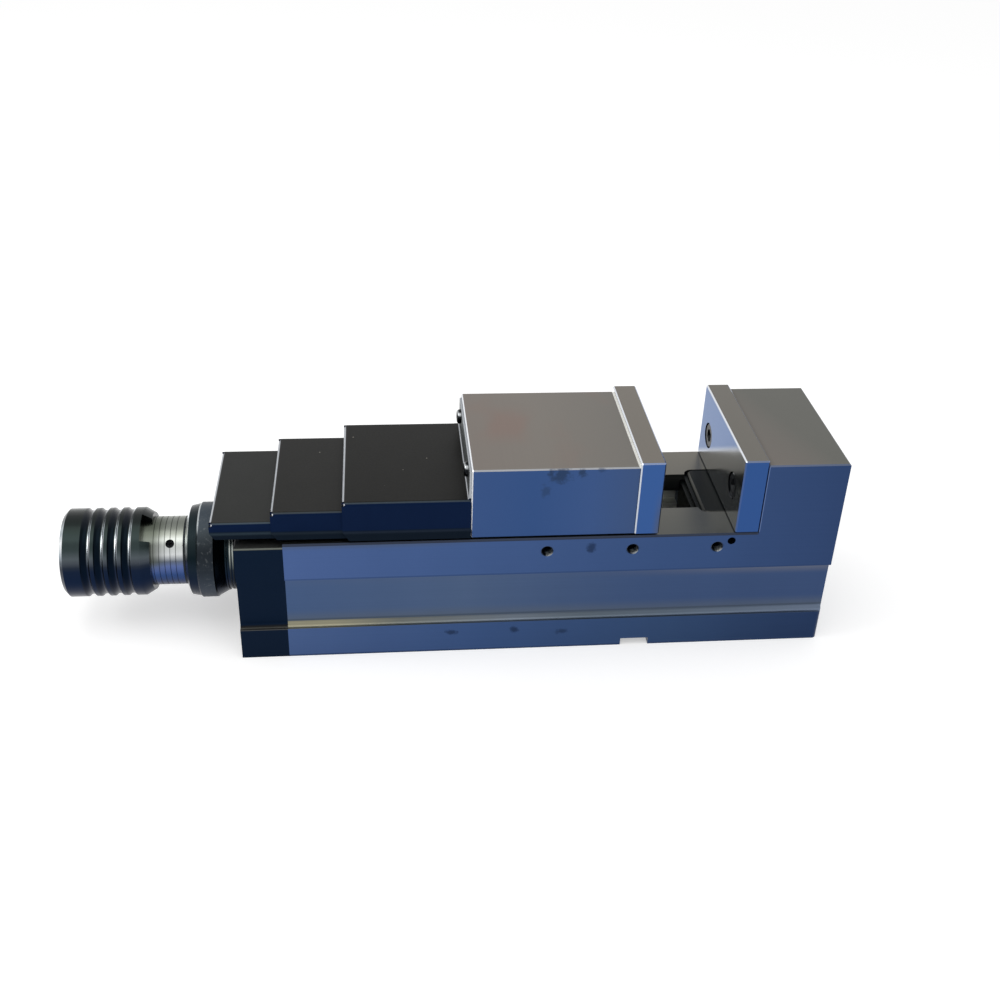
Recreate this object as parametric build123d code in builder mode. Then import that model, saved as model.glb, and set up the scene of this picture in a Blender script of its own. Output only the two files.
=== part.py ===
from build123d import *
import os
from math import cos, radians, sin, sqrt, tan

os.makedirs("parts", exist_ok=True)

# Hydraulic machine vise, 100 mm jaws, in millimetres.
# X runs along the vise towards the fixed jaw, Y across it and Z up.
# The origin is the middle of the cross keyway on the underside.

# Driving sizes of the bed and the fixed jaw
jaw_width = 100.0
bed_height = 84.5
bed_back_x = -219.0
bed_front_x = 121.5
jaw_depth = 47.9
plate_thickness = 15.0
plate_rise = 3.3
fixed_face_x = 56.0
edge_break = 0.8
slot_width = 40.0
slot_floor_drop = 56.5
keeper_slot_width = 54.0
keeper_slot_drop = 22.5
keeper_slot_height = 10.0
keyway_width = 18.0
keyway_depth = 5.0
foot_height = 21.6
groove_top_drop = 26.2
groove_depth = 3.2
groove_root = 3.0
foot_corner = 3.0

# Tapped holes for stops in both sides of the bed
side_hole_pitch = 53.0
side_hole_middle_x = -7.0
side_hole_count = 3
side_hole_drop = 10.0
side_hole_radius = 3.4
side_hole_depth = 18.0
side_hole_mouth = 0.8

# Movable jaw
opening = 48.0
moving_jaw_length = 100.0
moving_jaw_inset = 3.0
jaw_underside_gap = 0.05
skirt_gap = 1.0
skirt_width = 3.0
tongue_gap = 0.15
rear_tongue_length = 31.0
front_tongue_start = 75.0
front_tongue_length = 20.0
keeper_gap = 0.1
keeper_height = 9.8
keeper_margin = 2.0

# Jaw plate screws, M10
plate_screw_inset = 38.0
plate_screw_rise = 23.0
m10_shank = 5.0
m10_head = 8.0
m10_head_height = 10.0
m10_hex = 8.0
m10_counterbore = 8.5
m10_recess = 10.5
m10_grip = 18.0
thread_gap = 0.05
clearance = 0.5

# Spindle axis and lead screw
spindle_drop = 36.0
screw_radius = 12.0
screw_bore = 5.2
core_end_x = 20.0
screw_flange_radius = 23.0
screw_flange_length = 5.0
screw_plug_radius = 16.0
screw_plug_length = 15.0
journal_radius = 9.0
journal_length = 22.0
bearing_journal_radius = 12.9
running_gap = 0.05
bush_wall = 3.0
bush_length = 18.0

# Spindle nut and pull-down segment
nut_length = 34.0
nut_bottom_drop = 54.5
nut_start = 37.0
nut_tongue_length = 14.0
nut_tongue_width = 31.6
nut_tongue_height = 20.0
wedge_angle = 35.0
segment_radius = 7.5
segment_gap = 0.1
well_gap = 1.5
adjuster_radius = 5.0
adjuster_length = 18.0
adjuster_hex = 5.0

# Support block at the end of the slot
support_top_start = 42.5
support_top_end = 62.0
support_top_width = 51.5
support_top_depth = 12.3
support_corner = 3.0
support_step = 2.6
support_step_drop = 2.2
support_gap = 0.1
set_screw_x = 54.5
set_screw_drop = 5.5
set_screw_radius = 2.5
set_screw_length = 16.0
set_screw_hex = 2.5

# Rear bracket
bracket_thickness = 29.0
bracket_drop = 2.4
bearing_pocket_radius = 24.2
bearing_pocket_depth = 21.0
bracket_bore_radius = 13.5
bracket_screw_inset = 14.0
bracket_screw_low_z = 15.0
bracket_screw_drop = 14.5
m8_shank = 4.0
m8_head = 6.5
m8_head_height = 8.0
m8_hex = 6.0
m8_counterbore = 7.0
m8_recess = 9.0
m8_grip = 16.0
dowel_radius = 3.0
dowel_length = 16.0
dowel_z = 42.0

# Thrust bearing, washer and cap in the bracket
race_thickness = 2.5
race_outer_radius = 23.6
race_inner_radius = 13.1
ball_radius = 2.2
ball_count = 14
ball_gap = 0.05
cage_thickness = 1.6
washer_thickness = 3.0
washer_outer_radius = 23.9
cap_flange_radius = 25.2
cap_flange_length = 8.0
cap_spigot_radius = 24.0
cap_ring_radius = 25.8
cap_ring_depth = 1.0
cap_ring_width = 0.8
cap_ring_start = 1.6
cap_ring_pitch = 1.7

# Booster cylinder with the graduated barrel
barrel_radius = 21.65
barrel_end_x = -332.0
barrel_shoulder_x = -283.0
cylinder_radius = 20.0
graduation_count = 5
graduation_pitch = 3.42
graduation_first_x = -300.95
graduation_width = 0.5
graduation_depth = 0.35
plunger_bore = 8.1
chamber_radius = 15.1
chamber_start_x = -286.5
drive_recess_radius = 15.1
drive_recess_depth = 7.0
drive_ring_groove_radius = 16.2
drive_ring_groove_start = 1.8
drive_ring_thickness = 1.8
filler_x = -290.8
filler_angle = 45.0
filler_radius = 2.7
filler_bottom_radius = 9.8
filler_plug_length = 8.0
filler_plug_hex = 2.5

# Collar and bright ring beside the barrel
collar_start_x = -281.8
collar_end_x = -256.3
collar_radius = 30.2
collar_band_start = 8.7
collar_band_length = 9.4
collar_face_radius = 22.6
collar_cone_length = 2.5
collar_cone_radius = 28.3
collar_shoulder_radius = 29.4
collar_tail_radius = 26.2
spacer_ring_radius = 21.1
spacer_ring_thickness = 1.1
collar_screw_radius = 2.5
collar_screw_length = 8.0

# Plunger, piston, push rod and disc springs inside the booster
boost_stroke = 14.0
boost_turns = 4
piston_stroke = 1.2
plunger_radius = 8.0
plunger_start_x = -324.8
plunger_length = 20.8
plunger_thread_depth = 18.0
seal_section = 1.6
piston_radius = 15.0
piston_start_x = -284.0
piston_length = 12.0
push_rod_radius = 5.0
push_rod_length = 287.0
disc_spring_outer = 14.0
disc_spring_inner = 6.0
disc_spring_thickness = 1.2
disc_spring_count = 6

# Drive shaft
drive_hex = 19.0
drive_socket_hex = 12.0
drive_socket_depth = 14.0
drive_start_x = -354.0
drive_flange_radius = 14.9
drive_flange_thickness = 2.8
drive_screw_radius = 4.0
drive_screw_end_x = -307.5
clutch_ball_radius = 1.6
clutch_ball_count = 6
clutch_ball_circle = 12.0

# Handle sleeve
sleeve_start_x = -356.3
sleeve_end_x = -302.7
sleeve_radius = 27.8
sleeve_bore = 21.8
sleeve_wall = 8.0
sleeve_rim_break = 2.2
sleeve_cone_length = 5.5
sleeve_cone_radius = 24.4
grip_count = 4
grip_first = 12.45
grip_pitch = 8.2
grip_width = 5.7
grip_depth = 1.5
notch_angle = 68.0
notch_span = 42.0
notch_depth = 5.6
wiper_ring_section = 1.5
wiper_ring_offset = 8.0

# Telescopic covers, folded from sheet
sheet = 1.2
cover_bend = 1.8
cover_lip_flare = 2.3
cover_lip_mitre = 5.0
large_cover_x = -183.3
large_cover_rise = 26.8
large_cover_inset = 3.8
large_fold_rise = 6.5
large_flange_height = 19.0
large_flange_inset = 7.0
mid_cover_x = -225.5
mid_cover_rise = 19.1
mid_cover_inset = 9.8
mid_cover_length = 75.0
mid_fold_rise = 5.2
small_cover_x = -261.8
small_cover_rise = 11.3
small_cover_inset = 13.6
small_cover_length = 74.0
small_fold_rise = 4.6
lip_rise = 1.5
flap_gap = 0.1
corner_relief = 1.5
flange_screw_inset = 35.0
flange_screw_rise = 39.5
m5_shank = 2.5
m5_button = 4.75
m5_button_height = 2.75
m5_button_hex = 3.0
m5_head = 4.25
m5_head_height = 5.0
m5_hex = 4.0
m5_grip = 10.0
stay_length = 24.0
stay_inset = 20.0
stay_sheet = 2.0
stay_screw_pitch = 40.0

# Keeper screws, M6
m6_shank = 3.0
m6_head = 5.0
m6_head_height = 6.0
m6_hex = 5.0
m6_counterbore = 5.5
m6_recess = 6.4
m6_grip = 10.0
keeper_screw_pitch = 24.0

# Heights and widths that follow the bed's
groove_top_z = bed_height - groove_top_drop
slot_floor_z = bed_height - slot_floor_drop
moving_jaw_width = jaw_width - moving_jaw_inset
keeper_slot_z = bed_height - keeper_slot_drop
side_hole_z = bed_height - side_hole_drop
plate_screw_z = bed_height + plate_screw_rise
plate_screw_pitch = jaw_width - plate_screw_inset
spindle_z = bed_height - spindle_drop
nut_bottom_z = bed_height - nut_bottom_drop
set_screw_z = bed_height - set_screw_drop
bracket_height = bed_height - bracket_drop
bracket_screw_y = jaw_width / 2 - bracket_screw_inset
bracket_screw_high_z = bed_height - bracket_screw_drop
large_cover_z = bed_height + large_cover_rise
large_cover_width = jaw_width - large_cover_inset
large_fold_z = bed_height + large_fold_rise
large_flange_width = jaw_width - large_flange_inset
mid_cover_z = bed_height + mid_cover_rise
mid_cover_width = jaw_width - mid_cover_inset
mid_fold_z = bed_height + mid_fold_rise
small_cover_z = bed_height + small_cover_rise
small_cover_width = jaw_width - small_cover_inset
small_fold_z = bed_height + small_fold_rise
lip_bottom_z = bed_height + lip_rise
flange_screw_pitch = jaw_width - flange_screw_inset
flange_screw_z = bed_height + flange_screw_rise
stay_width = jaw_width - stay_inset

# Places worked out from the driving sizes
half_width = jaw_width / 2
block_top_z = bed_height + jaw_depth
plate_top_z = block_top_z + plate_rise
fixed_block_x = fixed_face_x + plate_thickness
moving_face_x = fixed_face_x - opening
moving_block_x = moving_face_x - plate_thickness
moving_rear_x = moving_block_x - moving_jaw_length
bracket_x = bed_back_x - bracket_thickness
pocket_end_x = bracket_x + bearing_pocket_depth
bearing_height = 2 * race_thickness + 2 * (ball_radius + ball_gap)
screw_flange_x = pocket_end_x - bearing_height - screw_flange_length
washer_x = screw_flange_x - washer_thickness
screw_plug_x = screw_flange_x - screw_plug_length
support_front_x = support_top_start - 2 * support_step
pocket_start_x = support_top_start - support_step
pocket_corner = (support_top_width - slot_width) / 2
spindle_axis = Axis((0, 0, spindle_z), (1, 0, 0))
screw_ends = (plate_screw_pitch / 2, -plate_screw_pitch / 2)


def ring_points(start, length, inner, outer):
    """Corners of a turned ring's half section, in the plane of X and Z."""
    low = spindle_z + inner
    high = spindle_z + outer
    end = start + length
    return [(start, low), (start, high), (end, high), (end, low)]


def on_spindle(points):
    """Corners given as (x, radius), as points in the plane of X and Z."""
    return [(x, spindle_z + radius) for x, radius in points]


def socket_screw(shank, grip, head, head_height, hexagon):
    """Socket head screw: head above the XY plane, shank below it."""
    with BuildPart() as screw:
        Cylinder(shank, grip, align=(Align.CENTER, Align.CENTER, Align.MAX))
        chamfer(screw.faces().sort_by(Axis.Z)[0].edges(), shank * 0.2)
        Cylinder(head, head_height, align=(Align.CENTER, Align.CENTER, Align.MIN))
        chamfer(screw.faces().sort_by(Axis.Z)[-1].edges(), head * 0.08)
        with BuildSketch(Plane.XY.offset(head_height)):
            RegularPolygon(hexagon / 2, 6, major_radius=False)
        extrude(amount=-head_height / 2, mode=Mode.SUBTRACT)
    return screw.part


def button_screw(shank, grip, head, head_height, hexagon):
    """Button head screw: domed head above the XY plane, shank below it."""
    with BuildPart() as screw:
        Cylinder(shank, grip, align=(Align.CENTER, Align.CENTER, Align.MAX))
        Cylinder(head, head_height, align=(Align.CENTER, Align.CENTER, Align.MIN))
        fillet(screw.faces().sort_by(Axis.Z)[-1].edges(), head_height * 0.8)
        with BuildSketch(Plane.XY.offset(head_height)):
            RegularPolygon(hexagon / 2, 6, major_radius=False)
        extrude(amount=-head_height * 0.6, mode=Mode.SUBTRACT)
    return screw.part


def set_screw(radius, length, hexagon):
    """Socket set screw below the XY plane, with its socket facing up."""
    with BuildPart() as screw:
        Cylinder(radius, length, align=(Align.CENTER, Align.CENTER, Align.MAX))
        chamfer(screw.faces().sort_by(Axis.Z)[0].edges(), radius * 0.3)
        with BuildSketch(Plane.XY):
            RegularPolygon(hexagon / 2, 6, major_radius=False)
        extrude(amount=-hexagon, mode=Mode.SUBTRACT)
    return screw.part


def side_profile(top_z):
    """Half of the outer cross section that base and bracket share, y positive.

    From the bottom up: foot, ledge with a hollow root, clamping groove, upper strip.
    """
    root_y = half_width - groove_depth
    with BuildLine() as outline:
        Polyline((0, 0), (half_width, 0), (half_width, foot_height), (root_y + groove_root, foot_height))
        RadiusArc((root_y + groove_root, foot_height), (root_y, foot_height + groove_root), groove_root)
        Polyline((root_y, foot_height + groove_root), (root_y, groove_top_z), (half_width, groove_top_z),
                 (half_width, top_z - edge_break), (half_width - edge_break, top_z), (0, top_z), (0, 0))
    return outline.line


# Base: bed, rails, slot and fixed jaw block in one piece
base_length = bed_front_x - bed_back_x
slot_end_x = support_top_end
with BuildPart() as base:
    with BuildSketch(Plane.YZ.offset(bed_back_x)):
        with BuildLine():
            add(side_profile(bed_height))
        make_face()
        mirror(about=Plane.YZ)
    extrude(amount=base_length)
    with BuildSketch(Plane.XY.offset(bed_height - edge_break)):
        with Locations((fixed_block_x, 0)):
            Rectangle(bed_front_x - fixed_block_x, jaw_width, align=(Align.MIN, Align.CENTER))
    extrude(amount=jaw_depth + edge_break)
    chamfer(base.faces().sort_by(Axis.Z)[-1].edges(), edge_break)
    foot_edges = base.edges().filter_by(Axis.Z).filter_by(
        lambda edge: edge.center().X > bed_front_x - 1 and edge.center().Z < foot_height)
    fillet(foot_edges, foot_corner)
    # Slot for spindle and nut, with the wider keeper slot under the rails
    with BuildSketch(Plane.YZ.offset(bed_back_x)):
        with Locations((0, slot_floor_z)):
            Rectangle(slot_width, bed_height - slot_floor_z, align=(Align.CENTER, Align.MIN))
    extrude(amount=slot_end_x - bed_back_x, mode=Mode.SUBTRACT)
    with BuildSketch(Plane.YZ.offset(bed_back_x)):
        with Locations((0, keeper_slot_z)):
            Rectangle(keeper_slot_width, keeper_slot_height, align=(Align.CENTER, Align.MIN))
    extrude(amount=support_front_x - bed_back_x, mode=Mode.SUBTRACT)
    with BuildSketch(Plane.XY.offset(bed_height)) as pocket:
        with Locations((pocket_start_x, 0)):
            Rectangle(support_top_end - pocket_start_x, support_top_width,
                      align=(Align.MIN, Align.CENTER))
        fillet(pocket.vertices().sort_by(Axis.X)[:2], pocket_corner)
    extrude(amount=-support_top_depth, mode=Mode.SUBTRACT)
    # Cross keyway in the underside
    with BuildSketch(Plane.XY):
        Rectangle(keyway_width, jaw_width)
    extrude(amount=keyway_depth, mode=Mode.SUBTRACT)
    # Tapped holes in both sides, and the set screws' holes
    for side in (-1, 1):
        side_plane = Plane(origin=(0, side * half_width, 0), x_dir=(-side, 0, 0), z_dir=(0, side, 0))
        with Locations(side_plane):
            with Locations((-side * side_hole_middle_x, side_hole_z)):
                with GridLocations(side_hole_pitch, 1, side_hole_count, 1):
                    CounterSinkHole(side_hole_radius, side_hole_radius + side_hole_mouth,
                                    side_hole_depth, 90)
            with Locations((-side * set_screw_x, set_screw_z)):
                Hole(set_screw_radius + thread_gap, half_width - support_top_width / 2 + 1)
    # Threads for the jaw plate screws, the bracket screws and the dowel pins
    with Locations(*[Location((fixed_block_x, y, plate_screw_z), (0, -90, 0)) for y in screw_ends]):
        Hole(m10_shank + thread_gap, m10_grip + 2)
    for y in (-bracket_screw_y, bracket_screw_y):
        with Locations(*[Location((bed_back_x, y, z), (0, -90, 0))
                         for z in (bracket_screw_low_z, bracket_screw_high_z)]):
            Hole(m8_shank + thread_gap, m8_grip + 2)
        with Locations(Location((bed_back_x, y, dowel_z), (0, -90, 0))):
            Hole(dowel_radius + thread_gap, dowel_length / 2 + 1)
base.part.label = "base"
export_step(base.part, "parts/base.step")

# Fixed jaw plate, seated on the bed against the fixed jaw block
with BuildPart() as fixed_jaw_plate:
    with BuildSketch(Plane.XY.offset(bed_height)):
        with Locations((fixed_face_x, 0)):
            Rectangle(plate_thickness, jaw_width, align=(Align.MIN, Align.CENTER))
    extrude(amount=plate_top_z - bed_height)
    chamfer(fixed_jaw_plate.edges(), edge_break)
    with Locations(*[Location((fixed_face_x, y, plate_screw_z), (0, -90, 0)) for y in screw_ends]):
        CounterBoreHole(m10_shank + clearance, m10_counterbore, m10_recess, plate_thickness)
fixed_jaw_plate.part.label = "fixed_jaw_plate"
export_step(fixed_jaw_plate.part, "parts/fixed_jaw_plate.step")

m10_screw = socket_screw(m10_shank, plate_thickness - m10_recess + m10_grip, m10_head, m10_head_height, m10_hex)
with BuildPart() as fixed_plate_screws:
    with Locations(*[Location((fixed_face_x + m10_recess, y, plate_screw_z), (0, -90, 0))
                     for y in screw_ends]):
        add(m10_screw)
fixed_plate_screws.part.label = "fixed_plate_screws"
export_step(fixed_plate_screws.part, "parts/fixed_plate_screws.step")

# Stepped block that closes the slot and carries the front of the spindle
support_half = slot_width / 2 - support_gap
support_top_z = bed_height - support_gap
with BuildPart() as spindle_support_block:
    with BuildSketch(Plane.XZ):
        with BuildLine():
            Polyline((support_front_x, slot_floor_z),
                     (support_front_x, support_top_z - 2 * support_step_drop),
                     (support_front_x + support_step, support_top_z - 2 * support_step_drop),
                     (support_front_x + support_step, support_top_z - support_step_drop),
                     (support_top_start, support_top_z - support_step_drop),
                     (support_top_start, support_top_z),
                     (support_top_end - support_gap, support_top_z),
                     (support_top_end - support_gap, slot_floor_z), close=True)
        make_face()
    extrude(amount=support_half, both=True)
    with BuildSketch(Plane.XY.offset(support_top_z - support_step_drop)) as first_step:
        with Locations((pocket_start_x, 0)):
            Rectangle(support_top_end - support_gap - pocket_start_x,
                      support_top_width - 2 * support_gap, align=(Align.MIN, Align.CENTER))
        fillet(first_step.vertices().sort_by(Axis.X)[:2], pocket_corner - support_gap)
    extrude(amount=-(support_top_depth - support_gap - support_step_drop))
    with BuildSketch(Plane.XY.offset(support_top_z)) as block_top:
        with Locations((support_top_start, 0)):
            Rectangle(support_top_end - support_gap - support_top_start,
                      support_top_width - 2 * support_gap, align=(Align.MIN, Align.CENTER))
        fillet(block_top.vertices().sort_by(Axis.X)[:2], support_corner)
    extrude(amount=-support_step_drop)
    front_edge = spindle_support_block.faces().sort_by(Axis.Z)[-1].edges().sort_by(Axis.X)[0]
    chamfer(front_edge, edge_break * 1.5)
    with Locations(Location((support_front_x, 0, spindle_z), (0, -90, 0))):
        Hole(journal_radius + running_gap + bush_wall)
spindle_support_block.part.label = "spindle_support_block"
export_step(spindle_support_block.part, "parts/spindle_support_block.step")

# Bush for the spindle's front journal
bush_x = support_front_x + support_step
with BuildPart() as front_bush:
    with BuildSketch(Plane.XZ):
        with BuildLine():
            Polyline(*ring_points(bush_x, bush_length, journal_radius + running_gap,
                                  journal_radius + bush_wall), close=True)
        make_face()
    revolve(axis=spindle_axis)
    chamfer(front_bush.faces().sort_by(Axis.X)[0].edges(), bush_wall * 0.2)
front_bush.part.label = "front_bush"
export_step(front_bush.part, "parts/front_bush.step")

# Set screws through the bed's sides that hold the support block
set_screw_y = support_top_width / 2 + set_screw_length
with BuildPart() as side_set_screws:
    with Locations(Location((set_screw_x, -set_screw_y, set_screw_z), (90, 0, 0)),
                   Location((set_screw_x, set_screw_y, set_screw_z), (-90, 0, 0))):
        add(set_screw(set_screw_radius, set_screw_length, set_screw_hex))
side_set_screws.part.label = "side_set_screws"
export_step(side_set_screws.part, "parts/side_set_screws.step")

# Rear bracket, with the bed's side profile and a bored pocket for the thrust bearing
with BuildPart() as rear_bracket:
    with BuildSketch(Plane.YZ.offset(bracket_x)):
        with BuildLine():
            add(side_profile(bracket_height))
        make_face()
        mirror(about=Plane.YZ)
    extrude(amount=bracket_thickness)
    chamfer(rear_bracket.faces().sort_by(Axis.X)[0].edges().sort_by(Axis.Z)[-1], edge_break)
    with Locations(Location((bracket_x, 0, spindle_z), (0, -90, 0))):
        CounterBoreHole(bracket_bore_radius, bearing_pocket_radius, bearing_pocket_depth, bracket_thickness)
    for y in (-bracket_screw_y, bracket_screw_y):
        with Locations(*[Location((bracket_x, y, z), (0, -90, 0))
                         for z in (bracket_screw_low_z, bracket_screw_high_z)]):
            CounterBoreHole(m8_shank + clearance, m8_counterbore, m8_recess, bracket_thickness)
        with Locations(Location((bed_back_x, y, dowel_z), (0, 90, 0))):
            Hole(dowel_radius + thread_gap, dowel_length / 2 + 1)
    with Locations(*[Location((bracket_x + bracket_thickness / 2, y, bracket_height), (0, 0, 0))
                     for y in (-stay_screw_pitch / 2, stay_screw_pitch / 2)]):
        Hole(m5_shank + thread_gap, m5_grip + 1)
rear_bracket.part.label = "rear_bracket"
export_step(rear_bracket.part, "parts/rear_bracket.step")

m8_screw = socket_screw(m8_shank, bracket_thickness - m8_recess + m8_grip, m8_head, m8_head_height, m8_hex)
with BuildPart() as bracket_screws:
    with Locations(*[Location((bracket_x + m8_recess, y, z), (0, -90, 0))
                     for y in (-bracket_screw_y, bracket_screw_y)
                     for z in (bracket_screw_low_z, bracket_screw_high_z)]):
        add(m8_screw)
bracket_screws.part.label = "bracket_screws"
export_step(bracket_screws.part, "parts/bracket_screws.step")

with BuildPart() as bracket_dowels:
    with BuildSketch(Plane.YZ.offset(bed_back_x - dowel_length / 2)):
        with Locations((-bracket_screw_y, dowel_z), (bracket_screw_y, dowel_z)):
            Circle(dowel_radius)
    extrude(amount=dowel_length)
    chamfer(bracket_dowels.edges(), dowel_radius * 0.15)
bracket_dowels.part.label = "bracket_dowels"
export_step(bracket_dowels.part, "parts/bracket_dowels.step")

# Thrust washer behind the spindle's flange
with BuildPart() as thrust_washer:
    with BuildSketch(Plane.XZ):
        with BuildLine():
            Polyline(*ring_points(washer_x + running_gap, washer_thickness - 2 * running_gap,
                                  cylinder_radius + 2 * running_gap, washer_outer_radius), close=True)
        make_face()
    revolve(axis=spindle_axis)
thrust_washer.part.label = "thrust_washer"
export_step(thrust_washer.part, "parts/thrust_washer.step")

# Ball thrust bearing in front of the flange: fixed race, turning race, cage and balls
front_race_x = pocket_end_x - race_thickness
ball_x = front_race_x - ball_gap - ball_radius
rear_race_x = screw_flange_x + screw_flange_length
ball_circle = (race_outer_radius + race_inner_radius) / 2
with BuildPart() as fixed_race:
    with BuildSketch(Plane.XZ):
        with BuildLine():
            Polyline(*ring_points(front_race_x, race_thickness, race_inner_radius, race_outer_radius),
                     close=True)
        make_face()
    revolve(axis=spindle_axis)
fixed_race.part.label = "fixed_race"
export_step(fixed_race.part, "parts/fixed_race.step")

with BuildPart() as turning_race:
    with BuildSketch(Plane.XZ):
        with BuildLine():
            Polyline(*ring_points(rear_race_x, race_thickness, race_inner_radius, race_outer_radius),
                     close=True)
        make_face()
    revolve(axis=spindle_axis)
turning_race.part.label = "turning_race"
export_step(turning_race.part, "parts/turning_race.step")

bearing_plane = Plane(origin=(ball_x, 0, spindle_z), x_dir=(0, 1, 0), z_dir=(1, 0, 0))
with BuildPart() as ball_cage:
    with BuildSketch(bearing_plane):
        Circle(race_outer_radius - clearance)
        Circle(race_inner_radius + clearance, mode=Mode.SUBTRACT)
        with PolarLocations(ball_circle, ball_count):
            Circle(ball_radius + ball_gap, mode=Mode.SUBTRACT)
    extrude(amount=cage_thickness / 2, both=True)
ball_cage.part.label = "ball_cage"
export_step(ball_cage.part, "parts/ball_cage.step")

with BuildPart() as bearing_balls:
    with Locations(bearing_plane):
        with PolarLocations(ball_circle, ball_count):
            Sphere(ball_radius)
bearing_balls.part.label = "bearing_balls"
export_step(bearing_balls.part, "parts/bearing_balls.step")

# Bearing cap screwed into the bracket, with two thin bright rings round it
cap_x = bracket_x - cap_flange_length
cap_end_x = washer_x
ring_starts = [cap_x + cap_ring_start, cap_x + cap_ring_start + cap_ring_pitch]
with BuildPart() as bearing_cap:
    with BuildSketch(Plane.XZ):
        with BuildLine():
            Polyline(*on_spindle([(cap_x, cylinder_radius + running_gap), (cap_x, cap_flange_radius),
                                  (bracket_x, cap_flange_radius), (bracket_x, cap_spigot_radius),
                                  (cap_end_x, cap_spigot_radius),
                                  (cap_end_x, cylinder_radius + running_gap)]), close=True)
        make_face()
        for start in ring_starts:
            with BuildLine():
                Polyline(*ring_points(start, cap_ring_width, cap_flange_radius - cap_ring_depth,
                                      cap_ring_radius), close=True)
            make_face(mode=Mode.SUBTRACT)
    revolve(axis=spindle_axis)
bearing_cap.part.label = "bearing_cap"
export_step(bearing_cap.part, "parts/bearing_cap.step")

with BuildPart() as cap_rings:
    with BuildSketch(Plane.XZ):
        for start in ring_starts:
            with BuildLine():
                Polyline(*ring_points(start, cap_ring_width, cap_flange_radius - cap_ring_depth,
                                      cap_ring_radius), close=True)
            make_face()
    revolve(axis=spindle_axis)
cap_rings.part.label = "cap_rings"
export_step(cap_rings.part, "parts/cap_rings.step")

# Lead screw: plug in the booster, thrust flange, journals and hollow core for the push rod
screw_end_x = support_front_x - clearance
with BuildPart() as lead_screw:
    with BuildSketch(Plane.XZ):
        with BuildLine():
            Polyline(*on_spindle([
                (screw_plug_x, screw_bore), (screw_plug_x, screw_plug_radius),
                (screw_flange_x, screw_plug_radius), (screw_flange_x, screw_flange_radius),
                (rear_race_x, screw_flange_radius), (rear_race_x, bearing_journal_radius),
                (bed_back_x + 1, bearing_journal_radius), (bed_back_x + 1, screw_radius),
                (screw_end_x, screw_radius), (screw_end_x, journal_radius),
                (screw_end_x + journal_length, journal_radius), (screw_end_x + journal_length, 0),
                (core_end_x, 0), (core_end_x, screw_bore)]), close=True)
        make_face()
    revolve(axis=spindle_axis)
    chamfer(lead_screw.faces().sort_by(Axis.X)[-1].edges(), edge_break)
lead_screw.part.label = "lead_screw"
export_step(lead_screw.part, "parts/lead_screw.step")

# Booster cylinder: graduated barrel, plunger bore, pressure chamber
flange_gap = running_gap
cylinder_end_x = screw_flange_x - flange_gap
recess_floor_x = barrel_end_x + drive_recess_depth
clutch_x = recess_floor_x - 0.1
filler_plane = Plane(origin=(filler_x, 0, spindle_z), x_dir=(1, 0, 0),
                     z_dir=(0, -cos(radians(filler_angle)), sin(radians(filler_angle))))
with BuildPart() as booster_cylinder:
    with BuildSketch(Plane.XZ):
        with BuildLine():
            Polyline(*on_spindle([
                (barrel_end_x, drive_recess_radius), (barrel_end_x, barrel_radius - edge_break),
                (barrel_end_x + edge_break, barrel_radius), (barrel_shoulder_x, barrel_radius),
                (barrel_shoulder_x, cylinder_radius), (cylinder_end_x, cylinder_radius),
                (cylinder_end_x, screw_plug_radius + thread_gap),
                (screw_plug_x, screw_plug_radius + thread_gap), (screw_plug_x, chamber_radius),
                (chamber_start_x, chamber_radius), (chamber_start_x, plunger_bore),
                (recess_floor_x, plunger_bore), (recess_floor_x, drive_recess_radius)]), close=True)
        make_face()
        for line in range(graduation_count):
            start = graduation_first_x + line * graduation_pitch - graduation_width / 2
            with BuildLine():
                Polyline(*ring_points(start, graduation_width, barrel_radius - graduation_depth,
                                      barrel_radius + 1), close=True)
            make_face(mode=Mode.SUBTRACT)
        with BuildLine():
            Polyline(*ring_points(barrel_end_x + drive_ring_groove_start, drive_ring_thickness + 0.2,
                                  drive_recess_radius - 1, drive_ring_groove_radius), close=True)
        make_face(mode=Mode.SUBTRACT)
        with Locations((clutch_x, spindle_z + clutch_ball_circle)):
            Circle(clutch_ball_radius + ball_gap, mode=Mode.SUBTRACT)
    revolve(axis=spindle_axis)
    with Locations(filler_plane.offset(barrel_radius + 1)):
        Hole(filler_radius, barrel_radius + 1 - filler_bottom_radius)
booster_cylinder.part.label = "booster_cylinder"
export_step(booster_cylinder.part, "parts/booster_cylinder.step")

# Plug screw of the oil filler, sunk in its hole
with BuildPart() as filler_plug:
    with Locations(filler_plane.offset(filler_bottom_radius + filler_plug_length)):
        add(set_screw(filler_radius - thread_gap, filler_plug_length, filler_plug_hex))
filler_plug.part.label = "filler_plug"
export_step(filler_plug.part, "parts/filler_plug.step")

# Bright ring between the barrel's shoulder and the collar
with BuildPart() as spacer_ring:
    with BuildSketch(Plane.XZ):
        with BuildLine():
            Polyline(*ring_points(barrel_shoulder_x + running_gap, spacer_ring_thickness,
                                  cylinder_radius + running_gap, spacer_ring_radius), close=True)
        make_face()
    revolve(axis=spindle_axis)
spacer_ring.part.label = "spacer_ring"
export_step(spacer_ring.part, "parts/spacer_ring.step")

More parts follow.
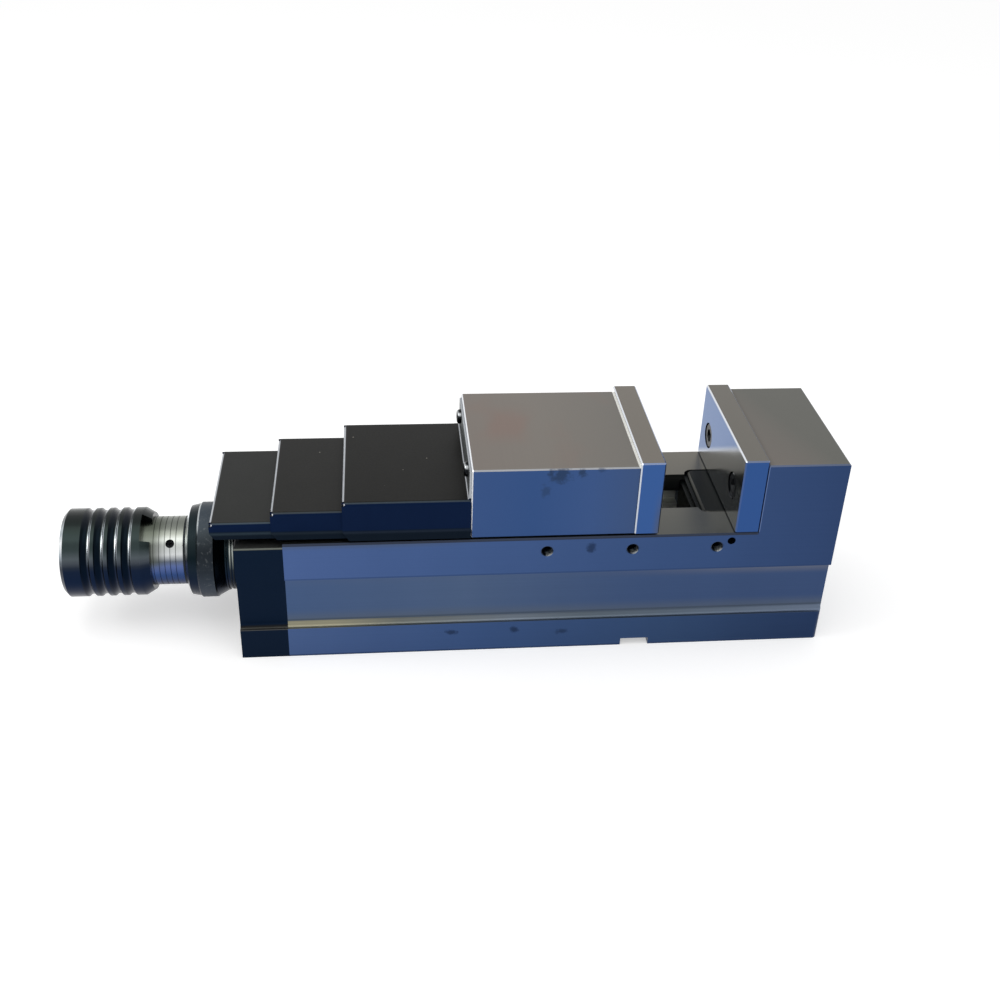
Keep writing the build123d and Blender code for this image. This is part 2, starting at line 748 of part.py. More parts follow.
# Thrust collar on the cylinder, with its raised band and cones
band_x = collar_start_x + collar_band_start
band_end_x = band_x + collar_band_length
collar_screw_plane = Plane(origin=((band_x + band_end_x) / 2, 0, spindle_z), x_dir=(1, 0, 0),
                           z_dir=(0, cos(radians(filler_angle)), -sin(radians(filler_angle))))
with BuildPart() as thrust_collar:
    with BuildSketch(Plane.XZ):
        with BuildLine():
            Polyline(*on_spindle([
                (collar_start_x, cylinder_radius + running_gap), (collar_start_x, collar_face_radius),
                (collar_start_x + collar_cone_length, collar_cone_radius),
                (band_x - edge_break, collar_shoulder_radius), (band_x, collar_radius),
                (band_end_x, collar_radius), (band_end_x + edge_break, collar_shoulder_radius),
                (collar_end_x - edge_break, collar_tail_radius), (collar_end_x, collar_tail_radius),
                (collar_end_x, cylinder_radius + running_gap)]), close=True)
        make_face()
    revolve(axis=spindle_axis)
    with Locations(collar_screw_plane.offset(collar_radius + 1)):
        Hole(collar_screw_radius + thread_gap, collar_radius + 1 - cylinder_radius)
thrust_collar.part.label = "thrust_collar"
export_step(thrust_collar.part, "parts/thrust_collar.step")

with BuildPart() as collar_set_screw:
    with Locations(collar_screw_plane.offset(cylinder_radius + running_gap + collar_screw_length)):
        add(set_screw(collar_screw_radius, collar_screw_length, filler_plug_hex))
collar_set_screw.part.label = "collar_set_screw"
export_step(collar_set_screw.part, "parts/collar_set_screw.step")

# Pressure piston with its seal groove
seal_x = piston_start_x + piston_length / 2
seal_inner = piston_radius - seal_section
with BuildPart() as pressure_piston:
    with BuildSketch(Plane.XZ):
        with BuildLine():
            Polyline(*ring_points(piston_start_x, piston_length, 0, piston_radius), close=True)
        make_face()
        with BuildLine():
            Polyline(*ring_points(seal_x, seal_section, seal_inner, piston_radius + 1), close=True)
        make_face(mode=Mode.SUBTRACT)
    revolve(axis=spindle_axis)
pressure_piston.part.label = "pressure_piston"
export_step(pressure_piston.part, "parts/pressure_piston.step")

with BuildPart() as piston_seal:
    with BuildSketch(Plane.XZ):
        with BuildLine():
            Polyline(*ring_points(seal_x, seal_section, seal_inner, piston_radius + running_gap), close=True)
        make_face()
    revolve(axis=spindle_axis)
piston_seal.part.label = "piston_seal"
export_step(piston_seal.part, "parts/piston_seal.step")

# Push rod in the lead screw's core
push_rod_x = piston_start_x + piston_length
with BuildPart() as push_rod:
    with BuildSketch(Plane.YZ.offset(push_rod_x)):
        with Locations((0, spindle_z)):
            Circle(push_rod_radius)
    extrude(amount=push_rod_length)
    chamfer(push_rod.faces().sort_by(Axis.X)[-1].edges(), edge_break)
push_rod.part.label = "push_rod"
export_step(push_rod.part, "parts/push_rod.step")

# Disc springs between the piston and the lead screw's plug, stacked face to face
disc_rise = disc_spring_thickness * 0.9
disc_pitch = disc_spring_thickness + disc_rise + running_gap
with BuildPart() as disc_springs:
    for number in range(disc_spring_count):
        right_x = screw_plug_x - number * disc_pitch
        left_x = right_x - disc_spring_thickness
        if number % 2 == 0:
            section = [(right_x, disc_spring_outer), (right_x - disc_rise, disc_spring_inner),
                       (left_x - disc_rise, disc_spring_inner), (left_x, disc_spring_outer)]
        else:
            section = [(right_x, disc_spring_inner), (right_x - disc_rise, disc_spring_outer),
                       (left_x - disc_rise, disc_spring_outer), (left_x, disc_spring_inner)]
        with BuildSketch(Plane.XZ):
            with BuildLine():
                Polyline(*on_spindle(section), close=True)
            make_face()
        revolve(axis=spindle_axis)
disc_springs.part.label = "disc_springs"
export_step(disc_springs.part, "parts/disc_springs.step")

# Primary plunger, threaded inside for the drive shaft's screw
plunger_end_x = plunger_start_x + plunger_length
plunger_seal_x = plunger_end_x - 2 * seal_section
plunger_seal_inner = plunger_radius - seal_section
with BuildPart() as primary_plunger:
    with BuildSketch(Plane.XZ):
        with BuildLine():
            Polyline(*on_spindle([
                (plunger_start_x, drive_screw_radius + running_gap), (plunger_start_x, plunger_radius),
                (plunger_end_x, plunger_radius), (plunger_end_x, 0),
                (plunger_start_x + plunger_thread_depth, 0),
                (plunger_start_x + plunger_thread_depth, drive_screw_radius + running_gap)]), close=True)
        make_face()
        with BuildLine():
            Polyline(*ring_points(plunger_seal_x, seal_section, plunger_seal_inner, plunger_radius + 1),
                     close=True)
        make_face(mode=Mode.SUBTRACT)
    revolve(axis=spindle_axis)
primary_plunger.part.label = "primary_plunger"
export_step(primary_plunger.part, "parts/primary_plunger.step")

with BuildPart() as plunger_seal:
    with BuildSketch(Plane.XZ):
        with BuildLine():
            Polyline(*ring_points(plunger_seal_x, seal_section, plunger_seal_inner,
                                  plunger_radius + running_gap), close=True)
        make_face()
    revolve(axis=spindle_axis)
plunger_seal.part.label = "plunger_seal"
export_step(plunger_seal.part, "parts/plunger_seal.step")

# Drive shaft: hexagon with a socket, clutch flange and drive screw
flange_end_x = recess_floor_x - 0.2
flange_start_x = flange_end_x - drive_flange_thickness
clutch_plane = Plane(origin=(clutch_x, 0, spindle_z), x_dir=(0, 1, 0), z_dir=(1, 0, 0))
with BuildPart() as drive_shaft:
    with BuildSketch(Plane(origin=(drive_start_x, 0, spindle_z), x_dir=(0, 1, 0), z_dir=(1, 0, 0))):
        RegularPolygon(drive_hex / 2, 6, major_radius=False)
    extrude(amount=flange_start_x - drive_start_x)
    chamfer(drive_shaft.faces().sort_by(Axis.X)[0].edges(), edge_break)
    with BuildSketch(Plane.XZ):
        with BuildLine():
            Polyline(*on_spindle([
                (flange_start_x, 0), (flange_start_x, drive_flange_radius),
                (flange_end_x, drive_flange_radius), (flange_end_x, drive_screw_radius),
                (drive_screw_end_x, drive_screw_radius), (drive_screw_end_x, 0)]), close=True)
        make_face()
    revolve(axis=spindle_axis)
    with BuildSketch(Plane(origin=(drive_start_x, 0, spindle_z), x_dir=(0, 1, 0), z_dir=(1, 0, 0))):
        RegularPolygon(drive_socket_hex / 2, 6, major_radius=False)
    extrude(amount=drive_socket_depth, mode=Mode.SUBTRACT)
    with Locations(clutch_plane):
        with PolarLocations(clutch_ball_circle, clutch_ball_count):
            Sphere(clutch_ball_radius + ball_gap, mode=Mode.SUBTRACT)
drive_shaft.part.label = "drive_shaft"
export_step(drive_shaft.part, "parts/drive_shaft.step")

with BuildPart() as clutch_balls:
    with Locations(clutch_plane):
        with PolarLocations(clutch_ball_circle, clutch_ball_count):
            Sphere(clutch_ball_radius)
clutch_balls.part.label = "clutch_balls"
export_step(clutch_balls.part, "parts/clutch_balls.step")

# Retaining ring that keeps the drive shaft in the barrel, split like a real one
retaining_x = barrel_end_x + drive_ring_groove_start + 0.1
hex_corner = drive_hex / sqrt(3)
with BuildPart() as drive_retaining_ring:
    with BuildSketch(Plane(origin=(retaining_x, 0, spindle_z), x_dir=(0, 1, 0), z_dir=(1, 0, 0))):
        Circle(drive_ring_groove_radius - 0.1)
        Circle(hex_corner + clearance, mode=Mode.SUBTRACT)
        with Locations((0, -drive_ring_groove_radius)):
            Rectangle(drive_flange_thickness, drive_ring_groove_radius, mode=Mode.SUBTRACT)
    extrude(amount=drive_ring_thickness)
drive_retaining_ring.part.label = "drive_retaining_ring"
export_step(drive_retaining_ring.part, "parts/drive_retaining_ring.step")

# Handle sleeve: turned grip grooves, coned rim with a notch, hexagon bore in its end wall
wall_end_x = sleeve_start_x + sleeve_wall
wiper_x = sleeve_end_x - wiper_ring_offset - wiper_ring_section
groove_radius = ((grip_width / 2) ** 2 + grip_depth ** 2) / (2 * grip_depth)
with BuildPart() as handle_sleeve:
    with BuildSketch(Plane.XZ):
        with BuildLine():
            Polyline(*on_spindle([
                (sleeve_start_x, 0), (sleeve_start_x, sleeve_radius - sleeve_rim_break),
                (sleeve_start_x + sleeve_rim_break, sleeve_radius),
                (sleeve_end_x - sleeve_cone_length, sleeve_radius), (sleeve_end_x, sleeve_cone_radius),
                (sleeve_end_x, sleeve_bore), (wall_end_x, sleeve_bore), (wall_end_x, 0)]), close=True)
        make_face()
        for groove in range(grip_count):
            centre_x = sleeve_start_x + grip_first + grip_width / 2 + groove * grip_pitch
            with Locations((centre_x, spindle_z + sleeve_radius + groove_radius - grip_depth)):
                Circle(groove_radius, mode=Mode.SUBTRACT)
        with BuildLine():
            Polyline(*ring_points(wiper_x, wiper_ring_section, sleeve_bore - 1,
                                  sleeve_bore + wiper_ring_section), close=True)
        make_face(mode=Mode.SUBTRACT)
    revolve(axis=spindle_axis)
    with BuildSketch(Plane(origin=(sleeve_start_x, 0, spindle_z), x_dir=(0, 1, 0), z_dir=(1, 0, 0))):
        RegularPolygon(drive_hex / 2 + 2 * running_gap, 6, major_radius=False)
    extrude(amount=sleeve_wall, mode=Mode.SUBTRACT)
    with BuildSketch(Plane(origin=(sleeve_end_x, 0, spindle_z), x_dir=(0, 1, 0), z_dir=(1, 0, 0))):
        with BuildLine():
            reach = sleeve_radius * 2
            first = radians(180 - notch_angle - notch_span / 2)
            last = radians(180 - notch_angle + notch_span / 2)
            Polyline((0, 0), (reach * cos(first), reach * sin(first)),
                     (reach * cos(last), reach * sin(last)), close=True)
        make_face()
    extrude(amount=-notch_depth, mode=Mode.SUBTRACT)
handle_sleeve.part.label = "handle_sleeve"
export_step(handle_sleeve.part, "parts/handle_sleeve.step")

with BuildPart() as sleeve_wiper:
    with BuildSketch(Plane.XZ):
        with BuildLine():
            Polyline(*ring_points(wiper_x, wiper_ring_section, barrel_radius + running_gap,
                                  sleeve_bore + wiper_ring_section), close=True)
        make_face()
    revolve(axis=spindle_axis)
sleeve_wiper.part.label = "sleeve_wiper"
export_step(sleeve_wiper.part, "parts/sleeve_wiper.step")

# Movable jaw: block on the rails, two tongues in the slot, well for the spindle nut
jaw_underside_z = bed_height + jaw_underside_gap
tongue_z = keeper_slot_z + keeper_slot_height - keeper_gap
tongue_width = slot_width - 2 * tongue_gap
nut_x = moving_rear_x + nut_start
tongue_rear_x = nut_x + well_gap * 2
wedge_foot_x = tongue_rear_x + nut_tongue_length
wedge_top_z = bed_height + nut_tongue_height
wedge_top_x = wedge_foot_x + nut_tongue_height * tan(radians(wedge_angle))
wedge_shift = well_gap / cos(radians(wedge_angle))
well_top_x = wedge_top_x + well_gap * tan(radians(wedge_angle)) + wedge_shift
segment_x = (wedge_foot_x + wedge_top_x) / 2
segment_z = bed_height + nut_tongue_height / 2
wedge_normal = (cos(radians(wedge_angle)), 0, -sin(radians(wedge_angle)))
segment_plane = Plane(origin=(segment_x + segment_gap * wedge_normal[0], 0,
                              segment_z + segment_gap * wedge_normal[2]),
                      x_dir=(0, 1, 0), z_dir=wedge_normal)
front_tongue_x = moving_rear_x + front_tongue_start
with BuildPart() as movable_jaw:
    with BuildSketch(Plane.XY.offset(jaw_underside_z)):
        with Locations((moving_rear_x, 0)):
            Rectangle(moving_jaw_length, moving_jaw_width, align=(Align.MIN, Align.CENTER))
    extrude(amount=block_top_z - jaw_underside_z)
    rear_face = movable_jaw.faces().sort_by(Axis.X)[0]
    top_face = movable_jaw.faces().sort_by(Axis.Z)[-1]
    chamfer(top_face.edges() + rear_face.edges().filter_by(Axis.Z), edge_break)
    with BuildSketch(Plane.XY.offset(jaw_underside_z)):
        with Locations((moving_rear_x, (moving_jaw_width - skirt_width) / 2),
                       (moving_rear_x, -(moving_jaw_width - skirt_width) / 2)):
            Rectangle(moving_jaw_length, skirt_width, align=(Align.MIN, Align.CENTER))
    extrude(amount=skirt_gap, mode=Mode.SUBTRACT)
    with BuildSketch(Plane.XY.offset(tongue_z)):
        with Locations((moving_rear_x, 0)):
            Rectangle(rear_tongue_length, tongue_width, align=(Align.MIN, Align.CENTER))
        with Locations((front_tongue_x, 0)):
            Rectangle(front_tongue_length, tongue_width, align=(Align.MIN, Align.CENTER))
    extrude(amount=jaw_underside_z - tongue_z)
    with BuildSketch(Plane.XZ):
        with BuildLine():
            Polyline((tongue_rear_x - well_gap, bed_height), (tongue_rear_x - well_gap, wedge_top_z + well_gap),
                     (well_top_x, wedge_top_z + well_gap), (wedge_foot_x + wedge_shift, bed_height), close=True)
        make_face()
    extrude(amount=nut_tongue_width / 2 + clearance, both=True, mode=Mode.SUBTRACT)
    with Locations(segment_plane):
        Sphere(segment_radius + segment_gap, mode=Mode.SUBTRACT)
    with Locations(Location((moving_rear_x, 0, segment_z), (0, -90, 0))):
        Hole(adjuster_radius + thread_gap, tongue_rear_x - moving_rear_x)
    with Locations(*[Location((moving_block_x, y, plate_screw_z), (0, 90, 0)) for y in screw_ends]):
        Hole(m10_shank + thread_gap, m10_grip + 2)
    with Locations(*[Location((moving_rear_x, y, flange_screw_z), (0, -90, 0))
                     for y in (-flange_screw_pitch / 2, flange_screw_pitch / 2)]):
        Hole(m5_shank + thread_gap, m5_grip + 1)
    keeper_centres = [moving_rear_x + rear_tongue_length / 2, front_tongue_x + front_tongue_length / 2]
    with Locations(*[Location((x, y, tongue_z), (180, 0, 0)) for x in keeper_centres
                     for y in (-keeper_screw_pitch / 2, keeper_screw_pitch / 2)]):
        Hole(m6_shank + thread_gap, m6_grip)
movable_jaw.part.label = "movable_jaw"
export_step(movable_jaw.part, "parts/movable_jaw.step")

# Movable jaw plate
moving_plate_z = bed_height + edge_break
with BuildPart() as movable_jaw_plate:
    with BuildSketch(Plane.XY.offset(moving_plate_z)):
        with Locations((moving_block_x, 0)):
            Rectangle(plate_thickness, jaw_width, align=(Align.MIN, Align.CENTER))
    extrude(amount=plate_top_z - moving_plate_z)
    chamfer(movable_jaw_plate.edges(), edge_break)
    with Locations(*[Location((moving_face_x, y, plate_screw_z), (0, 90, 0)) for y in screw_ends]):
        CounterBoreHole(m10_shank + clearance, m10_counterbore, m10_recess, plate_thickness)
movable_jaw_plate.part.label = "movable_jaw_plate"
export_step(movable_jaw_plate.part, "parts/movable_jaw_plate.step")

with BuildPart() as movable_plate_screws:
    with Locations(*[Location((moving_face_x - m10_recess, y, plate_screw_z), (0, 90, 0))
                     for y in screw_ends]):
        add(m10_screw)
movable_plate_screws.part.label = "movable_plate_screws"
export_step(movable_plate_screws.part, "parts/movable_plate_screws.step")

# Keeper plates under the rails and their screws
keeper_z = tongue_z - keeper_height
keeper_lengths = [rear_tongue_length - 2 * keeper_margin, front_tongue_length - 2 * keeper_margin]
with BuildPart() as keeper_plates:
    for x, length in zip(keeper_centres, keeper_lengths):
        with BuildSketch(Plane.XY.offset(keeper_z)):
            with Locations((x, 0)):
                Rectangle(length, keeper_slot_width - 4 * keeper_gap)
        extrude(amount=keeper_height)
    with Locations(*[Location((x, y, keeper_z), (180, 0, 0)) for x in keeper_centres
                     for y in (-keeper_screw_pitch / 2, keeper_screw_pitch / 2)]):
        CounterBoreHole(m6_shank + clearance, m6_counterbore, m6_recess, keeper_height)
keeper_plates.part.label = "keeper_plates"
export_step(keeper_plates.part, "parts/keeper_plates.step")

m6_screw = socket_screw(m6_shank, keeper_height - m6_recess + m6_grip - 1, m6_head, m6_head_height, m6_hex)
with BuildPart() as keeper_screws:
    with Locations(*[Location((x, y, keeper_z + m6_recess), (180, 0, 0)) for x in keeper_centres
                     for y in (-keeper_screw_pitch / 2, keeper_screw_pitch / 2)]):
        add(m6_screw)
keeper_screws.part.label = "keeper_screws"
export_step(keeper_screws.part, "parts/keeper_screws.step")

# Spindle nut with its undercut tongue, which pulls the jaw forward and down
nut_top_z = bed_height - keeper_gap
with BuildPart() as spindle_nut:
    with BuildSketch(Plane.XZ):
        with BuildLine():
            Polyline((nut_x, nut_bottom_z), (nut_x, nut_top_z), (nut_x + nut_length, nut_top_z),
                     (nut_x + nut_length, nut_bottom_z), close=True)
        make_face()
    extrude(amount=tongue_width / 2, both=True)
    chamfer(spindle_nut.edges().filter_by(Axis.X), edge_break)
    with BuildSketch(Plane.XZ):
        with BuildLine():
            Polyline((tongue_rear_x, nut_top_z - 1), (tongue_rear_x, wedge_top_z), (wedge_top_x, wedge_top_z),
                     (wedge_foot_x, bed_height), (wedge_foot_x, nut_top_z - 1), close=True)
        make_face()
    extrude(amount=nut_tongue_width / 2, both=True)
    with Locations(Location((nut_x, 0, spindle_z), (0, -90, 0))):
        Hole(screw_radius + running_gap, nut_length)
spindle_nut.part.label = "spindle_nut"
export_step(spindle_nut.part, "parts/spindle_nut.step")

# Half ball between the nut's tongue and the jaw
with BuildPart() as pull_down_segment:
    with Locations(segment_plane):
        Sphere(segment_radius)
    split(bisect_by=segment_plane, keep=Keep.TOP)
pull_down_segment.part.label = "pull_down_segment"
export_step(pull_down_segment.part, "parts/pull_down_segment.step")

# Screw that sets the play behind the nut's tongue
with BuildPart() as adjusting_screw:
    with Locations(Location((tongue_rear_x - running_gap - adjuster_length, 0, segment_z), (0, -90, 0))):
        add(set_screw(adjuster_radius, adjuster_length, adjuster_hex))
adjusting_screw.part.label = "adjusting_screw"
export_step(adjusting_screw.part, "parts/adjusting_screw.step")


def folded_cover(left_x, length, width, top_z, fold_z, flap_z):
    """Telescopic cover folded from sheet: top, two skirts with flared lips, flap at the left end."""
    side_y = (width - sheet) / 2
    roof_z = top_z - sheet / 2
    lip_y = side_y + cover_lip_flare
    bend_reach = cover_bend + sheet
    with BuildPart() as cover:
        with BuildSketch(Plane.YZ.offset(left_x)):
            with BuildLine():
                FilletPolyline((-lip_y, lip_bottom_z), (-side_y, fold_z), (-side_y, roof_z), (side_y, roof_z),
                               (side_y, fold_z), (lip_y, lip_bottom_z), radius=cover_bend)
            trace(line_width=sheet)
        extrude(amount=length)
        # Room for the bent flap in the roof, then the flap itself
        with BuildSketch(Plane.XY.offset(roof_z - sheet)):
            with Locations((left_x, 0)):
                Rectangle(bend_reach, 2 * (side_y - cover_bend), align=(Align.MIN, Align.CENTER))
        extrude(amount=2 * sheet, mode=Mode.SUBTRACT)
        with BuildSketch(Plane.XZ):
            with BuildLine():
                FilletPolyline((left_x + sheet / 2, flap_z), (left_x + sheet / 2, roof_z),
                               (left_x + bend_reach + sheet, roof_z), radius=cover_bend)
            trace(line_width=sheet)
        extrude(amount=side_y - cover_bend, both=True)
        # Mitred lips and the relief holes at the folded corners
        with BuildSketch(Plane.XZ):
            with BuildLine():
                Polyline((left_x - 1, fold_z), (left_x, fold_z), (left_x + cover_lip_mitre, lip_bottom_z - 1),
                         (left_x - 1, lip_bottom_z - 1), close=True)
            make_face()
        extrude(amount=width, both=True, mode=Mode.SUBTRACT)
        with Locations((left_x + sheet / 2, -side_y, roof_z), (left_x + sheet / 2, side_y, roof_z)):
            Sphere(corner_relief, mode=Mode.SUBTRACT)
    return cover.part


# Large cover, screwed to the movable jaw by its upturned flange
large_length = moving_rear_x - large_cover_x
flange_plane = Plane(origin=(moving_rear_x - sheet, 0, 0), x_dir=(0, 1, 0), z_dir=(-1, 0, 0))
with BuildPart() as large_cover:
    add(folded_cover(large_cover_x, large_length, large_cover_width, large_cover_z, large_fold_z,
                     mid_cover_z + flap_gap))
    with BuildSketch(Plane.XY.offset(large_cover_z - 2 * sheet)):
        with Locations((moving_rear_x, 0)):
            Rectangle(cover_bend + sheet, large_flange_width, align=(Align.MAX, Align.CENTER))
    extrude(amount=3 * sheet, mode=Mode.SUBTRACT)
    with BuildSketch(Plane.XZ):
        with BuildLine():
            FilletPolyline((moving_rear_x - cover_bend - 2 * sheet, large_cover_z - sheet / 2),
                           (moving_rear_x - sheet / 2, large_cover_z - sheet / 2),
                           (moving_rear_x - sheet / 2, large_cover_z + large_flange_height), radius=cover_bend)
        trace(line_width=sheet)
    extrude(amount=large_flange_width / 2, both=True)
    with Locations(*[Location((moving_rear_x - sheet, y, flange_screw_z), (0, -90, 0))
                     for y in (-flange_screw_pitch / 2, flange_screw_pitch / 2)]):
        Hole(m5_shank + clearance / 2, sheet)
large_cover.part.label = "large_cover"
export_step(large_cover.part, "parts/large_cover.step")

with BuildPart() as large_cover_screws:
    with Locations(*[Location((moving_rear_x - sheet, y, flange_screw_z), (0, -90, 0))
                     for y in (-flange_screw_pitch / 2, flange_screw_pitch / 2)]):
        add(button_screw(m5_shank, m5_grip, m5_button, m5_button_height, m5_button_hex))
large_cover_screws.part.label = "large_cover_screws"
export_step(large_cover_screws.part, "parts/large_cover_screws.step")

with BuildPart() as middle_cover:
    add(folded_cover(mid_cover_x, mid_cover_length, mid_cover_width, mid_cover_z, mid_fold_z,
                     small_cover_z + flap_gap))
middle_cover.part.label = "middle_cover"
export_step(middle_cover.part, "parts/middle_cover.step")

with BuildPart() as small_cover:
    add(folded_cover(small_cover_x, small_cover_length, small_cover_width, small_cover_z, small_fold_z,
                     small_fold_z))
small_cover.part.label = "small_cover"
export_step(small_cover.part, "parts/small_cover.step")

# Stay on the bracket that carries the small cover, and its screws
stay_x = bracket_x + (bracket_thickness - stay_length) / 2
stay_y = (stay_width - stay_sheet) / 2
stay_floor_z = bracket_height + stay_sheet / 2
stay_plate_z = bracket_height + stay_sheet
with BuildPart() as cover_stay:
    with BuildSketch(Plane.YZ.offset(stay_x)):
        with BuildLine():
            FilletPolyline((-stay_y, small_cover_z - sheet), (-stay_y, stay_floor_z), (stay_y, stay_floor_z),
                           (stay_y, small_cover_z - sheet), radius=cover_bend)
        trace(line_width=stay_sheet)
    extrude(amount=stay_length)
    with Locations(*[Location((bracket_x + bracket_thickness / 2, y, stay_plate_z))
                     for y in (-stay_screw_pitch / 2, stay_screw_pitch / 2)]):
        Hole(m5_shank + clearance / 2, stay_sheet)
cover_stay.part.label = "cover_stay"
export_step(cover_stay.part, "parts/cover_stay.step")

with BuildPart() as stay_screws:
    with Locations(*[Location((bracket_x + bracket_thickness / 2, y, stay_plate_z))
                     for y in (-stay_screw_pitch / 2, stay_screw_pitch / 2)]):
        add(socket_screw(m5_shank, m5_grip, m5_head, m5_head_height, m5_hex))
stay_screws.part.label = "stay_screws"
export_step(stay_screws.part, "parts/stay_screws.step")
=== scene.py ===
import math
import bpy
import numpy as np
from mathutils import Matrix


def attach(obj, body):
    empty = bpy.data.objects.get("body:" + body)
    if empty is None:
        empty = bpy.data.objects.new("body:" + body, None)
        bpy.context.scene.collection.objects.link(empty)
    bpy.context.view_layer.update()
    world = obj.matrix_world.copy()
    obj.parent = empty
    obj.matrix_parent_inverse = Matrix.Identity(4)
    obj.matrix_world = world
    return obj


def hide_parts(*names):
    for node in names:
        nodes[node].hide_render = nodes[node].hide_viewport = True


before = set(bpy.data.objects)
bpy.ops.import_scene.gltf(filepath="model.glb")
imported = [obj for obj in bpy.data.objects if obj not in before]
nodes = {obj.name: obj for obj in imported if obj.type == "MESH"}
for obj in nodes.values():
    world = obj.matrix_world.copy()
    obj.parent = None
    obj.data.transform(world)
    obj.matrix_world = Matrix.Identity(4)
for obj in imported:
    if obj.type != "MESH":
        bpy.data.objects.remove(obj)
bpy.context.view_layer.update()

# Places that several pieces share, in metres
SPINDLE_Z = 0.0485
BED_TOP = 0.0845
BED_BACK = -0.219
BED_FRONT = 0.1215
FOOT_TOP = 0.0216
GROOVE_TOP = 0.0583
SLOT_SIDE = 0.0275
JAW_TOP = 0.1324
JAW_SIDE = -0.0485
JAW_BACK = -0.107
JAW_FRONT = -0.007
BLOCK_START = 0.071
BLOCK_TOP = 0.13
PLATE_SCREW_Y = 0.031
GRIP_CENTRES = [-0.3410, -0.3328, -0.3246, -0.3164]
THREAD_LEAD = 0.005
STOP_HOLE_START = -0.0865
STOP_HOLE_PITCH = 0.053
STOP_HOLE_Z = 0.0745
STOP_HOLE_RADIUS = 0.0036
STOP_HOLE_THREAD = 0.00125

# How far a surface faces along an axis: values for rise that pick a flat face or a ground top, and
# values for band that pick the broken edge between two faces
FLAT = (0.9, 0.98)
GROUND_TOP = (0.75, 0.9)
EDGE = (0.4, 0.9, 0.05)

SMOOTH_BELOW_DEGREES = 35.0


class Reading:
    """A value or colour in a node tree. Arithmetic on it adds the Math nodes for the result."""

    def __init__(self, graph, socket):
        self.graph = graph
        self.socket = socket

    def __add__(self, other):
        return self.graph.sum("ADD", self, other)

    def __sub__(self, other):
        return self.graph.sum("SUBTRACT", self, other)

    def __rsub__(self, other):
        return self.graph.sum("SUBTRACT", other, self)

    def __mul__(self, other):
        return self.graph.sum("MULTIPLY", self, other)

    def __truediv__(self, other):
        return self.graph.sum("DIVIDE", self, other)

    def __pow__(self, other):
        return self.graph.sum("POWER", self, other)

    def __abs__(self):
        return self.graph.sum("ABSOLUTE", self)

    def __neg__(self):
        return 0 - self

    __radd__ = __add__
    __rmul__ = __mul__

    def most(self, other):
        return self.graph.sum("MAXIMUM", self, other)

    def least(self, other):
        return self.graph.sum("MINIMUM", self, other)

    def rise(self, low, high):
        """0 below low, 1 above high, and a soft step between them."""
        return self.graph.node("ShaderNodeMapRange", {"interpolation_type": "SMOOTHSTEP"},
                               {0: self, 1: low, 2: high, 3: 0.0, 4: 1.0})

    def band(self, low, high, soft):
        """1 between low and high, fading to 0 over soft on either side."""
        return self.rise(low - soft, low + soft) * (1 - self.rise(high - soft, high + soft))


def tone(red, green, blue):
    """A screen colour written from 0 to 255, as linear light: the sRGB curve undone."""
    parts = [part / 255 for part in (red, green, blue)]
    linear = [part / 12.92 if part < 0.0405 else ((part + 0.055) / 1.055) ** 2.4 for part in parts]
    return linear + [1.0]


class Graph:
    """The node tree of a material or of the world, emptied first."""

    def __init__(self, owner):
        owner.use_nodes = True
        self.tree = owner.node_tree
        self.tree.nodes.clear()

    def node(self, kind, settings, values, output=0):
        """Adds a node, makes its settings, then fills its sockets; gives one of its outputs."""
        made = self.tree.nodes.new(kind)
        for setting, value in settings.items():
            if setting == "stops":
                self.set_stops(made.color_ramp, value)
            else:
                setattr(made, setting, value)
        self.fill(made, values)
        return Reading(self, made.outputs[output]) if len(made.outputs) else None

    def fill(self, made, values):
        """Links a reading to each socket that is named or numbered, or sets the socket's value."""
        for socket, value in values.items():
            if isinstance(value, Reading):
                self.tree.links.new(value.socket, made.inputs[socket])
            else:
                made.inputs[socket].default_value = value

    def set_stops(self, ramp, stops):
        while len(ramp.elements) < len(stops):
            ramp.elements.new(1.0)
        for element, (position, colour) in zip(ramp.elements, stops):
            element.position = position
            element.color = colour

    def sum(self, operation, first, second=0.0):
        return self.node("ShaderNodeMath", {"operation": operation}, {0: first, 1: second})

    def background_ray(self):
        """1 for a ray from the camera or by way of metal or glass, 0 for light on matt surfaces."""
        camera_ray = self.node("ShaderNodeLightPath", {}, {}, "Is Camera Ray")
        others = camera_ray.socket.node.outputs
        glossy_ray = Reading(self, others["Is Glossy Ray"])
        clear_ray = Reading(self, others["Is Transmission Ray"])
        return (camera_ray + glossy_ray + clear_ray).least(1.0)


